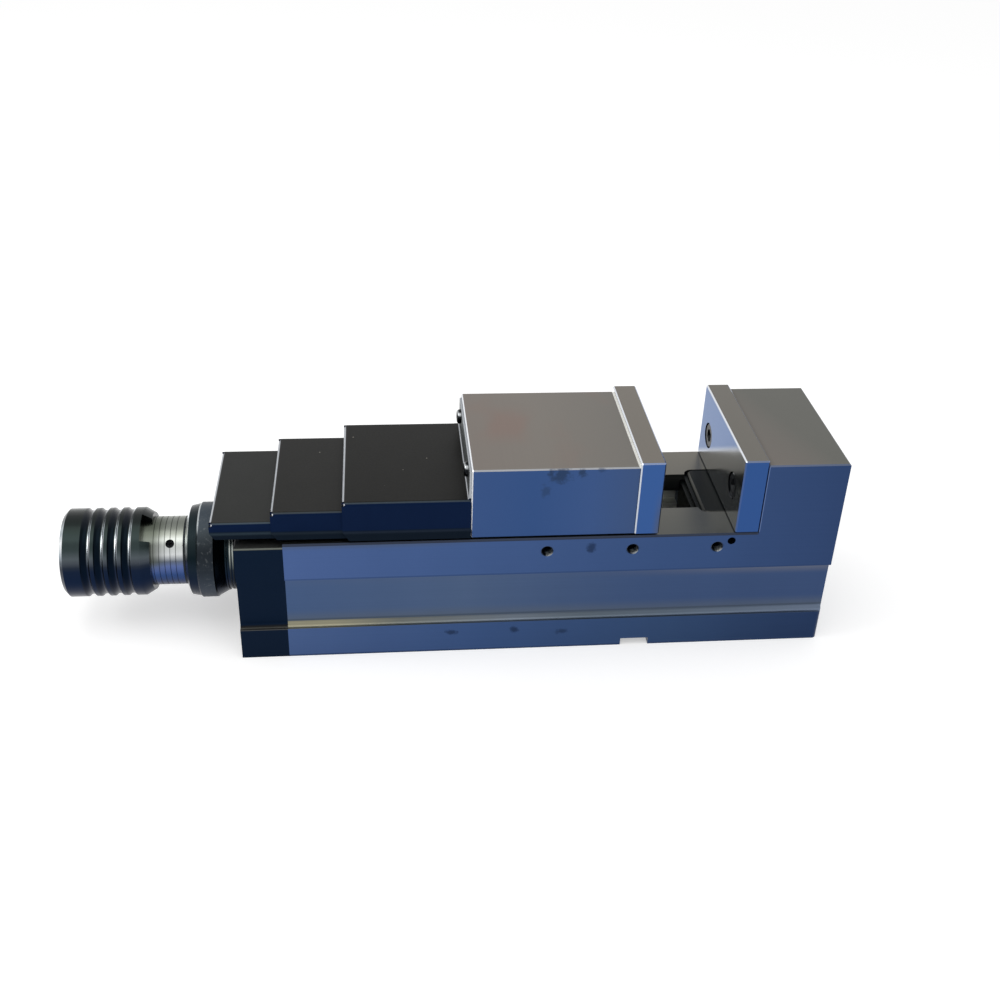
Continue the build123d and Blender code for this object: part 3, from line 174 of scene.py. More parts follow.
class Finish(Graph):
    """One material: its nodes, the surface's place and facing, and the shader they feed."""

    def __init__(self, name, metallic=1.0, roughness=0.35, **fixed):
        self.material = bpy.data.materials.new(name)
        super().__init__(self.material)
        shader = self.node("ShaderNodeBsdfPrincipled", {}, {"Metallic": metallic})
        self.node("ShaderNodeOutputMaterial", {}, {"Surface": shader})
        self.shader = shader.socket.node
        self.feed(Roughness=roughness, **fixed)
        self.place = self.node("ShaderNodeTexCoord", {}, {}, "Object")
        facing = self.node("ShaderNodeTexCoord", {}, {}, "Normal")
        self.x, self.y, self.z = self.parts(self.place)
        self.nx, self.ny, self.nz = self.parts(facing)

    def feed(self, **values):
        """Fills the shader's sockets; an underscore stands for a space in a socket's name."""
        self.fill(self.shader, {name.replace("_", " "): value for name, value in values.items()})

    def parts(self, vector):
        split = self.node("ShaderNodeSeparateXYZ", {}, {0: vector}).socket.node
        return [Reading(self, output) for output in split.outputs]

    def ramp(self, value, *stops):
        """Colours along value. A stop is a value and the red, green and blue on screen there."""
        low, high = stops[0][0], stops[-1][0]
        share = (value - low) / (high - low)
        tones = [((at - low) / (high - low), tone(*colour)) for at, *colour in stops]
        return self.node("ShaderNodeValToRGB", {"stops": tones}, {0: share})

    def mix(self, base, top, share):
        return self.node("ShaderNodeMix", {"data_type": "RGBA"}, {0: share, 6: base, 7: top}, 2)

    def over(self, base, *layers):
        """Base with screen colours laid over it in turn.

        A layer is a share from 0 to 1, and the red, green and blue where that share is 1.
        """
        for share, *colour in layers:
            base = self.mix(base, tone(*colour), share)
        return base

    def shade(self, colour, factor):
        """Colour times a number that varies over the surface."""
        grey = self.node("ShaderNodeCombineColor", {}, {0: factor, 1: factor, 2: factor})
        return self.node("ShaderNodeMix", {"data_type": "RGBA", "blend_type": "MULTIPLY"},
                         {0: 1.0, 6: colour, 7: grey}, 2)

    def grain(self, scale, detail=2.0, roughness=0.5):
        """Noise about 0.5, finer with scale: one number, or one for each axis to draw out lines."""
        if isinstance(scale, float):
            scale = (scale, scale, scale)
        spread = self.node("ShaderNodeVectorMath", {"operation": "MULTIPLY"},
                           {0: self.place, 1: scale})
        return self.node("ShaderNodeTexNoise", {}, {"Vector": spread, "Scale": 1.0,
                                                    "Detail": detail, "Roughness": roughness})

    def spots(self, scale, size):
        """1 inside small round spots on a jittered lattice of cells, 0 outside."""
        distance = self.node("ShaderNodeTexVoronoi", {}, {"Vector": self.place, "Scale": scale})
        return 1 - distance.rise(size * 0.6, size)

    def oil(self, cloud, *marks):
        """Soft stains, whose edges a cloud of noise makes ragged: 1 at their darkest, 0 outside.

        A mark is its centre's x and z, its reach along x and along z, and its strength.
        """
        raggedness = 2.4
        stain = 0.0
        for x, z, wide, tall, strength in marks:
            across, up = (self.x - x) / wide, (self.z - z) / tall
            away = (across * across + up * up) ** 0.5
            mark = 1 - (away + (cloud - 0.5) * raggedness).rise(0.35, 1.15)
            stain = (mark * strength).most(stain)
        return stain

    def underside(self):
        return 1 - self.nz.rise(-0.95, -0.7)

    def spindle_reach(self):
        """Distance from the spindle's line."""
        height = self.z - SPINDLE_Z
        return (self.y * self.y + height * height) ** 0.5

    def spindle_climb(self):
        """The share of that distance by which a place stands above the spindle's line."""
        return (self.z - SPINDLE_Z) / self.spindle_reach()

    def bump(self, height, strength, depth, under=None):
        """Facing tilted by a height, on top of the facing that another bump gave."""
        values = {"Strength": strength, "Distance": depth, "Height": height}
        if under is not None:
            values["Normal"] = under
        return self.node("ShaderNodeBump", {}, values)

    def wear(self, colour, roughness, height, strength, depth, under=None):
        """Feeds the shader a colour, a roughness and a bump, and gives the material."""
        facing = self.bump(height, strength, depth, under)
        self.feed(Base_Color=colour, Roughness=roughness, Normal=facing)
        return self.material


def bed_side(f, ledge):
    """Upright faces of the bed: foot, groove and rail, blue-grey and darker to the right. The
    blue-grey is a painted reflection, with lines and bands of painted light and shade.
    """
    strip = f.ramp(f.x, (BED_BACK, 70, 92, 138), (-0.11, 63, 86, 130), (0.02, 55, 77, 118),
                   (BED_FRONT, 46, 65, 102))
    recess = f.ramp(f.x, (BED_BACK, 66, 86, 121), (-0.11, 73, 91, 121), (0.0, 60, 79, 114),
                    (BED_FRONT, 55, 73, 108))
    foot = f.ramp(f.x, (BED_BACK, 68, 89, 130), (-0.1, 57, 80, 121), (0.02, 50, 71, 105),
                  (BED_FRONT, 35, 52, 84))
    # Painted reflection of the ledge: the low part of the recess is lighter.
    ledge_reflection_in_recess = 1 - f.z.rise(FOOT_TOP + 0.004, FOOT_TOP + 0.013)
    # Painted light: the top of the recess, under the strip's lip, is lighter, more so to the right.
    light_under_lip = f.z.rise(0.0500, 0.0562) * (f.x.rise(-0.05, 0.11) * 0.8 + 0.1)
    # Painted shade: a darker line in the crease where the cove meets the recess.
    cove_crease_shade = f.z.band(FOOT_TOP + 0.0038, FOOT_TOP + 0.0050, 0.0004)
    recess = f.over(recess, (ledge_reflection_in_recess * 0.6, 86, 95, 107), (light_under_lip, 88, 95, 114),
                    (cove_crease_shade * 0.7, 66, 76, 88))
    side = f.mix(foot, recess, f.z.rise(FOOT_TOP - 0.0002, FOOT_TOP + 0.0002))
    side = f.mix(side, strip, f.z.rise(GROOVE_TOP - 0.0002, GROOVE_TOP + 0.0002))

    # Painted shade: a dark line along the strip's lower edge, over the groove.
    groove_edge_shade = f.z.band(GROOVE_TOP, GROOVE_TOP + 0.0010, 0.0002)
    # Painted shade: the top of the side, under the covers, is greyer and darker.
    shade_under_covers = f.z.rise(0.0795, 0.083) * (1 - f.x.rise(-0.15, -0.09))
    # Painted shadow: a dark line along the rails' top edge, left of the fixed block.
    rail_edge_shadow = f.z.rise(0.0829, 0.0833) * (1 - f.x.rise(0.0700, 0.0716))
    foot_edge = 1 - f.z.rise(0.0004, 0.0018)
    # Painted highlight: a pale line up the fixed block's front corner, beside the plate.
    block_corner_highlight = (f.x.band(BLOCK_START - 0.0001, BLOCK_START + 0.0005, 0.0001)
                    * f.z.rise(BED_TOP, BED_TOP + 0.001))
    side = f.over(side, (groove_edge_shade * 0.5, 44, 62, 96), (shade_under_covers * 0.5, 72, 82, 98),
                  (rail_edge_shadow, 48, 54, 68), (foot_edge, 46, 63, 94),
                  (block_corner_highlight * 0.8, 100, 120, 162))
    cove = f.z.band(FOOT_TOP - 0.0002, FOOT_TOP + 0.0036, 0.0003) * f.nz.rise(0.02, 0.25)
    near_ledge = f.z.band(FOOT_TOP, FOOT_TOP + 0.0036, 0.0003)
    return f.mix(side, ledge, cove.most(near_ledge))


def bed_upper(f, ledge, on_block):
    """Faces of the bed that look up: the foot's ledge, the rails, and the top of the block, in
    painted reflections: rails lighter towards the back, a soft diagonal highlight on the block, and
    the plate's dark reflection beside it.
    """
    # Painted reflection: the rails grow lighter towards the back.
    rail = f.ramp(f.y, (-0.05, 88, 89, 86), (0.05, 112, 109, 102))
    # Painted highlight: a soft diagonal band across the block's top.
    block_top = f.ramp(f.x + f.y * 0.35, (0.06, 109, 104, 99), (0.082, 104, 101, 96),
                       (0.098, 97, 97, 92), (0.135, 96, 96, 91))
    # Painted reflection: the plate shows as a dark band on the block's top beside it.
    plate_reflection_on_block = 1 - f.x.rise(BLOCK_START + 0.0008, BLOCK_START + 0.0045)
    block_top = f.over(block_top, (plate_reflection_on_block * 0.75, 92, 88, 82))
    upper = f.mix(ledge, rail, f.z.rise(0.08, 0.084))
    return f.mix(upper, block_top, on_block)


def stop_hole(f):
    """Tapped stop holes: the share inside one, which the bed paints dark as shade, the painted
    highlight on its lit lower right wall, and its thread's spiral.
    """
    along = f.sum("MODULO", f.x - STOP_HOLE_START, STOP_HOLE_PITCH) - STOP_HOLE_PITCH / 2
    height = f.z - STOP_HOLE_Z
    off_centre = (along * along + height * height) ** 0.5
    inside = 1 - off_centre.rise(STOP_HOLE_RADIUS, STOP_HOLE_RADIUS + 0.0002)
    inside = inside * abs(f.y).band(0.030, 0.0498, 0.0001)
    lit = (f.nz * 0.8 - f.nx * 0.6).rise(0.45, 0.9) * abs(f.y).rise(0.0430, 0.0460)
    turns = f.sum("ARCTAN2", height, along) / (2 * math.pi)
    spiral = f.sum("PINGPONG", abs(f.y) / STOP_HOLE_THREAD + turns, 0.5) * 2
    return inside, inside * lit, inside * spiral


def bed_steel():
    """Ground bed: blue-grey sides, grey rails and slot, a tan ledge on the foot, tapped holes. The
    blue-grey, grey and tan are painted reflections, with painted light and shade on edges, in the
    slot and in the holes.
    """
    f = Finish("bed_ground_steel")
    # Painted reflection: the ledge is tan at the left and blue-grey to the right.
    ledge = f.ramp(f.x, (-0.19, 136, 133, 114), (-0.15, 104, 107, 103), (-0.08, 100, 109, 120),
                   (-0.035, 86, 96, 106), (0.02, 86, 97, 110), (BED_FRONT, 97, 109, 128))
    on_block = f.z.rise(BLOCK_TOP - 0.01, BLOCK_TOP)
    # Painted reflections: faces that look up take the grey and tan tones, upright faces the
    # blue-grey ones.
    colour = f.mix(bed_side(f, ledge), bed_upper(f, ledge, on_block), f.nz.rise(0.78, 0.9))
    # Painted reflection: the block's broken top edges take a tone between its top and its front.
    block_edge = f.nz.band(0.45, 0.85, 0.1) * on_block
    colour = f.over(colour, (block_edge * 0.7, 100, 108, 126))

    # The slot: ruled walls with painted light in their low part and painted shade above it, and a
    # floor painted pale as lit
    in_slot = 1 - abs(f.y).rise(SLOT_SIDE, SLOT_SIDE + 0.0003)
    wall = in_slot * (1 - f.z.rise(BED_TOP - 0.0005, BED_TOP - 0.0001))
    wall = wall * (1 - f.x.rise(0.0605, 0.062))
    wall = wall * (1 - f.nz.rise(0.5, 0.8)) * (1 - abs(f.nx).rise(0.5, 0.8))
    ruled = f.grain((2.0, 2.0, 620.0), 1.0)
    slot_wall_light_and_shade = f.ramp(f.z, (0.058, 212, 214, 208), (0.067, 180, 183, 180), (0.0725, 44, 46, 46),
                       (BED_TOP, 64, 66, 64))
    colour = f.mix(colour, f.shade(slot_wall_light_and_shade, 0.7 + ruled * 0.6), wall)
    lit_slot_floor = f.nz.rise(0.8, 0.95) * in_slot * (1 - f.z.rise(0.074, 0.076))
    end_face = abs(f.nx).rise(0.8, 0.95)
    colour = f.over(colour, (lit_slot_floor, 214, 216, 208), (end_face * 0.7, 92, 100, 118),
                    (f.underside(), 96, 100, 108))

    cloud = f.grain(260.0, 4.0, 0.65)
    stain = f.oil(cloud, (-0.0330, 0.0765, 0.0034, 0.0042, 0.5),
                  (-0.1180, 0.0150, 0.0040, 0.0022, 0.5), (-0.0780, 0.0150, 0.0032, 0.0026, 0.5),
                  (-0.0480, 0.0125, 0.0045, 0.0022, 0.4))
    stain = stain * (1 - f.y.rise(-0.0470, -0.0465))

    hole_shade, hole_wall_highlight, spiral = stop_hole(f)
    # Painted shade inside the stop holes, and a painted highlight on their lower right walls.
    colour = f.over(colour, (hole_shade, 44, 52, 64), (hole_wall_highlight, 240, 244, 240))
    lines = f.grain((3.0, 1400.0, 1400.0), 3.0)
    sheen = f.grain((34.0, 1.5, 1.5), 1.0)
    colour = f.shade(colour, (0.90 + lines * 0.12 + sheen * 0.08) * (1 - stain))
    rough = 0.28 + lines * 0.12 + stain * 0.2 + wall * 0.3
    hole_thread = f.bump(spiral, strength=1.0, depth=0.0003)
    return f.wear(colour, rough, lines, strength=0.12, depth=0.00008, under=hole_thread)


def jaw_steel():
    """Movable jaw: warm grey ground top and blue front, both painted reflections, oil marks on the
    front, bright broken edges, partly fresh grinding and partly painted highlight.
    """
    f = Finish("jaw_ground_steel")
    mottle = f.grain((30.0, 22.0, 30.0), 2.0)
    # Painted reflections: the top warm grey, the front blue.
    top = f.ramp(f.x, (JAW_BACK, 122, 115, 109), (-0.06, 121, 116, 110),
                 (JAW_FRONT, 113, 110, 105))
    blush = f.oil(mottle, (-0.083, JAW_TOP, 0.016, 0.02, 1.0))
    blush = blush * (1 - abs(f.y - 0.006).rise(0.004, 0.03))
    top = f.over(top, ((mottle.rise(0.55, 0.75) * 0.25 + blush * 0.6).least(1.0), 128, 108, 100))
    front = f.ramp(f.x, (JAW_BACK, 56, 80, 125), (-0.07, 52, 78, 124), (-0.035, 58, 82, 127),
                   (JAW_FRONT, 60, 80, 118))
    colour = f.mix(front, top, f.nz.rise(*GROUND_TOP))
    # Broken edges painted bright, partly as fresh grinding and partly as painted highlights; the
    # edge beside the plate is painted near white, as light in the crease.
    long_edge = f.nz.band(*EDGE) * (1 - abs(f.nx).rise(0.3, 0.5))
    plate_side_highlight = f.nx.band(*EDGE) * f.nz.rise(0.4, 0.6)
    colour = f.over(colour, (abs(f.nx).rise(*FLAT), 98, 104, 118), (long_edge, 138, 140, 144),
                    ((-f.nx).band(*EDGE), 236, 238, 242), (plate_side_highlight, 250, 250, 248))
    cloud = f.grain(260.0, 4.0, 0.65)
    marks = f.oil(cloud, (-0.0550, 0.1285, 0.0075, 0.0060, 1.0),
                  (-0.0420, 0.1290, 0.0030, 0.0040, 1.0), (-0.0630, 0.1175, 0.0030, 0.0045, 0.6),
                  (-0.0300, 0.1310, 0.0030, 0.0020, 0.6))
    marks = marks * (1 - f.y.rise(JAW_SIDE + 0.0005, JAW_SIDE + 0.001))
    colour = f.over(colour, (marks * 0.7, 44, 60, 84), (f.underside(), 60, 60, 58))
    lines = f.grain((1400.0, 3.0, 1400.0), 3.0)
    colour = f.shade(colour, 0.94 + lines * 0.12)
    rough = 0.27 + lines * 0.14 + marks * 0.2
    return f.wear(colour, rough, lines, strength=0.1, depth=0.00008)


def jaw_plate_steel(name, moving, top_tone, front_tone, face_reflection_tone, rail_reflection_tone, inner_edge):
    """Hardened jaw plate: fine grinding, a work face in painted reflections, counterbores painted
    dark as shade with a painted highlight below.

    Moving is 1 for the movable jaw's plate, 0 for the fixed one.
    """
    f = Finish(name, roughness=0.2)
    low_corner = f.x.rise(0.0022, 0.0086) * (1 - f.z.rise(0.088, 0.124)) * moving
    # Painted reflections: the front blue, the top warm grey.
    front = f.mix(tone(*front_tone), tone(74, 84, 108), low_corner)
    colour = f.mix(front, tone(*top_tone), f.nz.rise(*GROUND_TOP))
    # Painted reflections on the work face: the rails in its low part, up to a line that slopes
    # across the face, and the surroundings above it
    over_rails = f.z + f.y * 0.6 - (BED_TOP + 0.030)
    face = f.mix(tone(*rail_reflection_tone), tone(*face_reflection_tone), over_rails.rise(-0.003, 0.004))
    colour = f.mix(colour, face, abs(f.nx).rise(*FLAT))
    # Painted light: the movable plate's back face above the jaw top is painted near white, as light
    # in the crease beside the jaw.
    light_above_jaw = f.z.rise(JAW_TOP - 0.0012, JAW_TOP - 0.0010) * moving
    # Broken edges: mostly pale, partly as fresh grinding and partly as painted highlights; the +X
    # edges and the fixed plate's inner edge take a blue painted reflection.
    long_edge = f.nz.band(*EDGE) * (1 - abs(f.nx).rise(0.3, 0.5))
    top_edge = (-f.nx).band(*EDGE) * f.nz.rise(0.3, 0.6)
    upright_edge = (-f.nx).band(*EDGE) * (1 - abs(f.nz).rise(0.3, 0.6))
    colour = f.over(colour, ((-f.nx).rise(*FLAT) * light_above_jaw, 246, 246, 244),
                    (long_edge * 0.6, 124, 130, 142), (top_edge, 222, 226, 232),
                    (upright_edge, *inner_edge), (f.nx.band(*EDGE), 130, 146, 182))
    # Painted shade inside the counterbores, with a painted highlight on their lower wall.
    bore = 1 - abs(abs(f.y) - PLATE_SCREW_Y).rise(0.0086, 0.0092)
    bore = bore * (1 - abs(f.nx).rise(0.1, 0.3)) * f.z.band(0.0980, 0.1170, 0.0004)
    colour = f.over(colour, (bore, 22, 25, 34), (bore * f.nz.rise(0.82, 0.97), 226, 230, 236))
    lines = f.grain((1600.0, 3.0, 1600.0), 3.0)
    cross = f.grain((3.0, 3.0, 1600.0), 2.0)
    colour = f.shade(colour, 0.94 + lines * 0.06 + cross * 0.06)
    return f.wear(colour, 0.15 + lines * 0.1, lines, strength=0.05, depth=0.00005)


def black_cover(name, left, side, top, fold, top_tone, bend_highlight_tone, fold_highlight_tone):
    """Blackened folded sheet: speckled satin top, blue-black sides in painted reflection, painted
    highlights on the bends, and lips lighter at a painted highlight along the fold.

    Left, side, top and fold are where the sheet ends, bends over and turns in, in metres.
    """
    f = Finish(name, roughness=0.42)
    dust = f.grain(900.0, 3.0, 0.6)
    mottle = f.grain((70.0, 45.0, 45.0), 3.0, 0.6)
    # Painted highlight along the fold on the lip, darker towards its bottom edge; the sides above
    # are a blue-black painted reflection.
    lip = f.ramp(f.z, (0.0855, 12, 19, 27), (0.0866, 18, 26, 36), (fold - 0.0012, 18, 26, 36),
                 (fold - 0.0002, *fold_highlight_tone), (fold + 0.0012, 14, 25, 42))
    skirt = f.mix(tone(14, 28, 55), lip, 1 - f.z.rise(fold + 0.0008, fold + 0.0016))
    roof = f.z.rise(fold + 0.0016, fold + 0.0022)
    colour = f.mix(skirt, tone(*top_tone), f.nz.rise(0.72, 0.94) * roof)
    # Painted highlights on the front, back and left bends and on the flange's rim; the left end
    # faces take a painted reflection, grey on the flange.
    bend = f.nz.band(0.66, 0.94, 0.06) * roof * abs(f.ny).rise(0.25, 0.4)
    left_bend = f.nz.band(0.3, 0.92, 0.08) * (-f.nx).rise(0.3, 0.5) * roof
    left_face = (-f.nx).rise(0.92, 0.98)
    flange = f.z.rise(top + 0.0006, top + 0.0012)
    flange_rim_highlight = flange * (f.nz.rise(0.5, 0.8) + abs(f.ny).rise(0.5, 0.8)).least(1.0)
    # A dark dot painted at each top left corner as the shade inside the corner relief.
    across = abs(f.y) - side
    from_corner = ((f.x - left) ** 2 + across * across + (f.z - top) ** 2) ** 0.5
    speck = f.spots(420.0, 0.16)
    crumb = f.spots(75.0, 0.045) * f.nz.rise(0.8, 0.95)
    colour = f.over(colour, (bend * 0.8, *bend_highlight_tone), (left_bend, 176, 179, 184),
                    (left_face * flange, 104, 108, 108), (left_face * (1 - flange), 52, 58, 70),
                    (flange_rim_highlight, 176, 180, 184), (1 - from_corner.rise(0.0016, 0.0021), 7, 9, 14),
                    (crumb * 0.8, 150, 146, 138))
    colour = f.shade(colour, 0.84 + dust * 0.14 + mottle * 0.2 + speck * 0.14)
    return f.wear(colour, 0.36 + dust * 0.2, dust * 0.6 + mottle, strength=0.22, depth=0.00012)


def bracket_black():
    """Blackened rear bracket: blue-black front in painted reflection, dull cove, a top painted
    lighter as light beneath the cover, and light lines on its top edge and its ledge, partly wear
    and partly painted highlight.
    """
    f = Finish("bracket_black_steel", roughness=0.4)
    colour = f.mix(tone(14, 27, 45), tone(30, 30, 29), f.nz.rise(0.3, 0.8))
    # Painted light: the top face, which the small cover shades, is painted lighter.
    top_face_light = f.nz.rise(0.8, 0.95) * f.z.rise(0.07, 0.08)
    top_line = f.z.band(0.0814, 0.0822, 0.0002) * (1 - abs(abs(f.y) - 0.0497).rise(0.0008, 0.0012))
    ledge_line = f.z.band(FOOT_TOP - 0.0006, FOOT_TOP + 0.0004, 0.0002)
    colour = f.over(colour, (top_face_light, 96, 98, 96), ((-f.nx).rise(0.8, 0.95), 18, 20, 22),
                    (top_line * 0.75, 104, 108, 102), (ledge_line * 0.6, 92, 92, 88))
    dust = f.grain(700.0, 3.0, 0.6)
    colour = f.shade(colour, 0.85 + dust * 0.3)
    return f.wear(colour, 0.33 + dust * 0.2, dust, strength=0.2, depth=0.0001)


def support_black():
    """Blackened block at the slot's end, milled, with lines along its steps."""
    f = Finish("support_block_black", roughness=0.4)
    lines = f.grain((1200.0, 4.0, 1200.0), 3.0)
    colour = f.mix(tone(22, 24, 26), tone(22, 25, 25), f.nz.rise(0.4, 0.9))
    # Broken edges and the left faces near the step's top painted lighter, partly as wear and partly
    # as painted highlight.
    worn_and_lit_edges = f.nz.band(0.3, 0.9, 0.08) + (-f.nx).band(0.6, 1.1, 0.05) * f.z.rise(0.078, 0.081)
    colour = f.over(colour, ((worn_and_lit_edges * 0.6).least(1.0), 88, 88, 84))
    colour = f.shade(colour, 0.85 + lines * 0.3)
    return f.wear(colour, 0.32 + lines * 0.2, lines, strength=0.15, depth=0.0001)


def sleeve_black():
    """Handle sleeve: grip grooves with painted shade on one flank and a painted highlight on the
    other.

    Its blackened steel carries a painted reflection of the room: grey-green above, a bright
    skyline, blue-black below.
    """
    f = Finish("sleeve_black_steel", roughness=0.3)
    climb = f.spindle_climb()
    colour = f.ramp(climb, (-1.0, 10, 22, 46), (-0.2, 14, 28, 52), (0.16, 22, 32, 51),
                    (0.25, 36, 43, 55), (0.34, 66, 72, 80), (0.44, 80, 88, 93),
                    (0.60, 54, 64, 65), (0.88, 42, 50, 48), (1.0, 38, 42, 42))
    sleeve_highlight = f.ramp(climb, (0.22, 20, 30, 44), (0.36, 82, 90, 98), (0.50, 160, 168, 176),
                    (0.74, 250, 252, 254), (0.86, 180, 188, 194), (0.93, 190, 198, 202),
                    (1.0, 60, 64, 68))
    shaded = f.ramp(climb, (-1.0, 9, 20, 44), (0.0, 8, 18, 32), (0.9, 14, 21, 26),
                    (1.0, 30, 34, 40))
    for centre in GRIP_CENTRES:
        past = f.x - centre
        colour = f.mix(colour, shaded, past.band(-0.0029, 0.0010, 0.0003))
        colour = f.mix(colour, sleeve_highlight, past.band(0.0016, 0.0030, 0.0003) * climb.rise(0.15, 0.3))
    # Painted highlight on the rim at the sleeve's left end.
    rim = (-f.nx).band(0.3, 0.85, 0.1) * (1 - f.x.rise(-0.350, -0.349))
    colour = f.mix(colour, sleeve_highlight, rim * 0.8)
    # Painted shade on the end face near the bore.
    end_face = (1 - f.spindle_reach().rise(0.0236, 0.0240)) * (1 - f.x.rise(-0.3005, -0.3004))
    colour = f.over(colour, (end_face, 22, 26, 30))
    rings = f.grain((2600.0, 6.0, 6.0), 2.0)
    colour = f.shade(colour, 0.92 + rings * 0.16)
    return f.wear(colour, 0.2 + rings * 0.1, rings, strength=0.12, depth=0.0001)


def blackened_turning(f):
    """Colour of blackened turned steel on the collar and the bearing cap: a painted reflection,
    blue-black below the spindle's line and greyer above.
    """
    return f.ramp(f.spindle_climb(), (-1.0, 12, 24, 48), (-0.2, 16, 28, 48), (0.15, 24, 34, 44),
                  (0.4, 18, 29, 34), (0.7, 34, 43, 46), (1.0, 34, 43, 46))


def collar_black():
    """Thrust collar: a painted highlight as a bright line on its left cone and shoulder, and a
    brushed band with lint, its colours a painted reflection that changes with height.
    """
    f = Finish("collar_black_steel", roughness=0.3)
    band_start = -0.2731
    climb = f.spindle_climb()
    in_band = f.x.band(band_start, -0.2637, 0.0001)
    brushed = f.ramp(climb, (-1.0, 18, 34, 58), (-0.75, 44, 54, 68), (-0.4, 60, 68, 79),
                     (0.1, 42, 48, 55), (0.5, 38, 43, 48), (0.8, 56, 62, 66), (1.0, 66, 74, 82))
    colour = f.mix(blackened_turning(f), brushed, in_band)
    glint = f.ramp(climb, (0.40, 40, 48, 52), (0.60, 112, 120, 122), (0.76, 200, 206, 206),
                   (0.86, 252, 254, 254), (1.0, 236, 242, 246))
    # Painted highlight: a bright line on the left cone.
    cone_glint = f.x.band(-0.2812, -0.2792, 0.0002) * climb.rise(0.35, 0.5)
    colour = f.mix(colour, glint, cone_glint)
    # Painted highlight on the band's left shoulder.
    shoulder_highlight = f.x.band(band_start - 0.0006, band_start + 0.0004, 0.0001)
    lint = f.grain(420.0, 4.0, 0.7)
    colour = f.over(colour, (shoulder_highlight * climb.rise(0.76, 0.92), 176, 182, 184),
                    (in_band * lint.rise(0.54, 0.7) * 0.6, 92, 97, 100))
    rings = f.grain((2600.0, 6.0, 6.0), 2.0)
    colour = f.shade(colour, 0.9 + rings * 0.2)
    rough = 0.22 + rings * 0.1 + in_band * 0.2
    return f.wear(colour, rough, rings + in_band * lint * 2, strength=0.12, depth=0.0001)


def cap_black():
    """Bearing cap: plain blackened turning."""
    f = Finish("cap_black_steel", roughness=0.3)
    rings = f.grain((2600.0, 6.0, 6.0), 2.0)
    colour = f.shade(blackened_turning(f), 0.9 + rings * 0.2)
    return f.wear(colour, 0.22 + rings * 0.1, rings, strength=0.12, depth=0.0001)


def barrel_steel():
    """Turned bright barrel: a painted reflection of a pale skyline above blue, painted shade beside
    the sleeve, and blackened fillings in its ring lines.
    """
    f = Finish("barrel_bright_steel", roughness=0.28)
    reach, climb = f.spindle_reach(), f.spindle_climb()
    colour = f.ramp(climb, (-0.7, 24, 40, 76), (-0.2, 46, 70, 118), (0.1, 82, 98, 145),
                    (0.26, 90, 99, 114), (0.34, 150, 154, 160), (0.45, 208, 211, 212),
                    (0.62, 192, 196, 194), (0.80, 186, 190, 184), (0.88, 146, 150, 141),
                    (1.0, 112, 116, 110))
    # Painted shade on the barrel beside the sleeve's end.
    shade_beside_sleeve = (1 - f.x.rise(-0.3020, -0.2915)) * climb.rise(-0.1, 0.3)
    colour = f.over(colour, (shade_beside_sleeve * 0.8, 70, 76, 65))
    in_line = (1 - reach.rise(0.02145, 0.0216)) * reach.rise(0.0205, 0.021)
    in_line = in_line * f.x.band(-0.3025, -0.2815, 0.0001)
    colour = f.shade(colour, 1 - in_line * 0.55)
    rings = f.grain((2400.0, 10.0, 10.0), 2.0)
    streak = f.grain((40.0, 320.0, 320.0), 2.0)
    colour = f.shade(colour, 0.86 + rings * 0.16 + streak * 0.14)
    return f.wear(colour, 0.2 + rings * 0.16, rings, strength=0.15, depth=0.00008)


def plain_turned(name, red, green, blue, roughness=0.25):
    """Turned or rolled part of one colour, with rings of grain around the spindle's line."""
    f = Finish(name, roughness=roughness)
    rings = f.grain((1800.0, 12.0, 12.0), 2.0)
    light = f.mix(tone(red * 0.9, green * 0.9, blue * 0.9), tone(red, green, blue), rings)
    return f.wear(light, roughness + rings * 0.12, rings, strength=0.12, depth=0.00006)


def cap_ring_steel():
    """Two bright wire rings on the bearing cap: lit above the middle, dark below."""
    f = Finish("cap_ring_bright", roughness=0.25)
    colour = f.ramp(f.spindle_climb(), (-0.4, 10, 18, 28), (0.05, 40, 46, 52),
                    (0.25, 104, 110, 108), (0.5, 172, 178, 174), (0.8, 150, 156, 150),
                    (1.0, 70, 74, 74))
    rings = f.grain((2600.0, 9.0, 9.0), 2.0)
    colour = f.shade(colour, 0.85 + rings * 0.3)
    return f.wear(colour, 0.22 + rings * 0.1, rings, strength=0.1, depth=0.00005)


def thread_steel():
    """Rolled lead screw thread: bright crests, darker grey flanks and roots, patchy with oil."""
    f = Finish("lead_thread_steel", roughness=0.3)
    oil = f.grain(160.0, 3.0, 0.6)
    colour = f.mix(tone(74, 72, 66), tone(172, 174, 172), f.spindle_reach().rise(0.0100, 0.0120))
    colour = f.shade(colour, 0.75 + oil * 0.45)
    return f.wear(colour, 0.22 + oil * 0.2, oil, strength=0.12, depth=0.00006)


def black_screw(name, **fixed):
    """Black oxide fastener: satin, with painted highlights on the corners at the top of the head.
    """
    f = Finish(name, roughness=0.3, **fixed)
    dust = f.grain(1500.0, 2.0)
    colour = f.mix(tone(22, 24, 27), tone(50, 52, 54), dust.rise(0.45, 0.75))
    # Painted highlight on the upward-facing corners at the top of the head.
    corner = f.nz.band(0.5, 0.8, 0.12) * f.z.rise(0.1, 0.105)
    colour = f.over(colour, (corner * 0.8, 190, 194, 196))
    return f.wear(colour, 0.22 + dust * 0.16, dust, strength=0.15, depth=0.00006)


def soft_seal():
    """Rubber seals: matt black with a fine moulded grain."""
    f = Finish("seal_rubber", metallic=0.0, roughness=0.75)
    dust = f.grain(1100.0, 2.0)
    colour = f.mix(tone(26, 26, 27), tone(40, 40, 40), dust)
    return f.wear(colour, 0.68 + dust * 0.2, dust, strength=0.2, depth=0.00005)


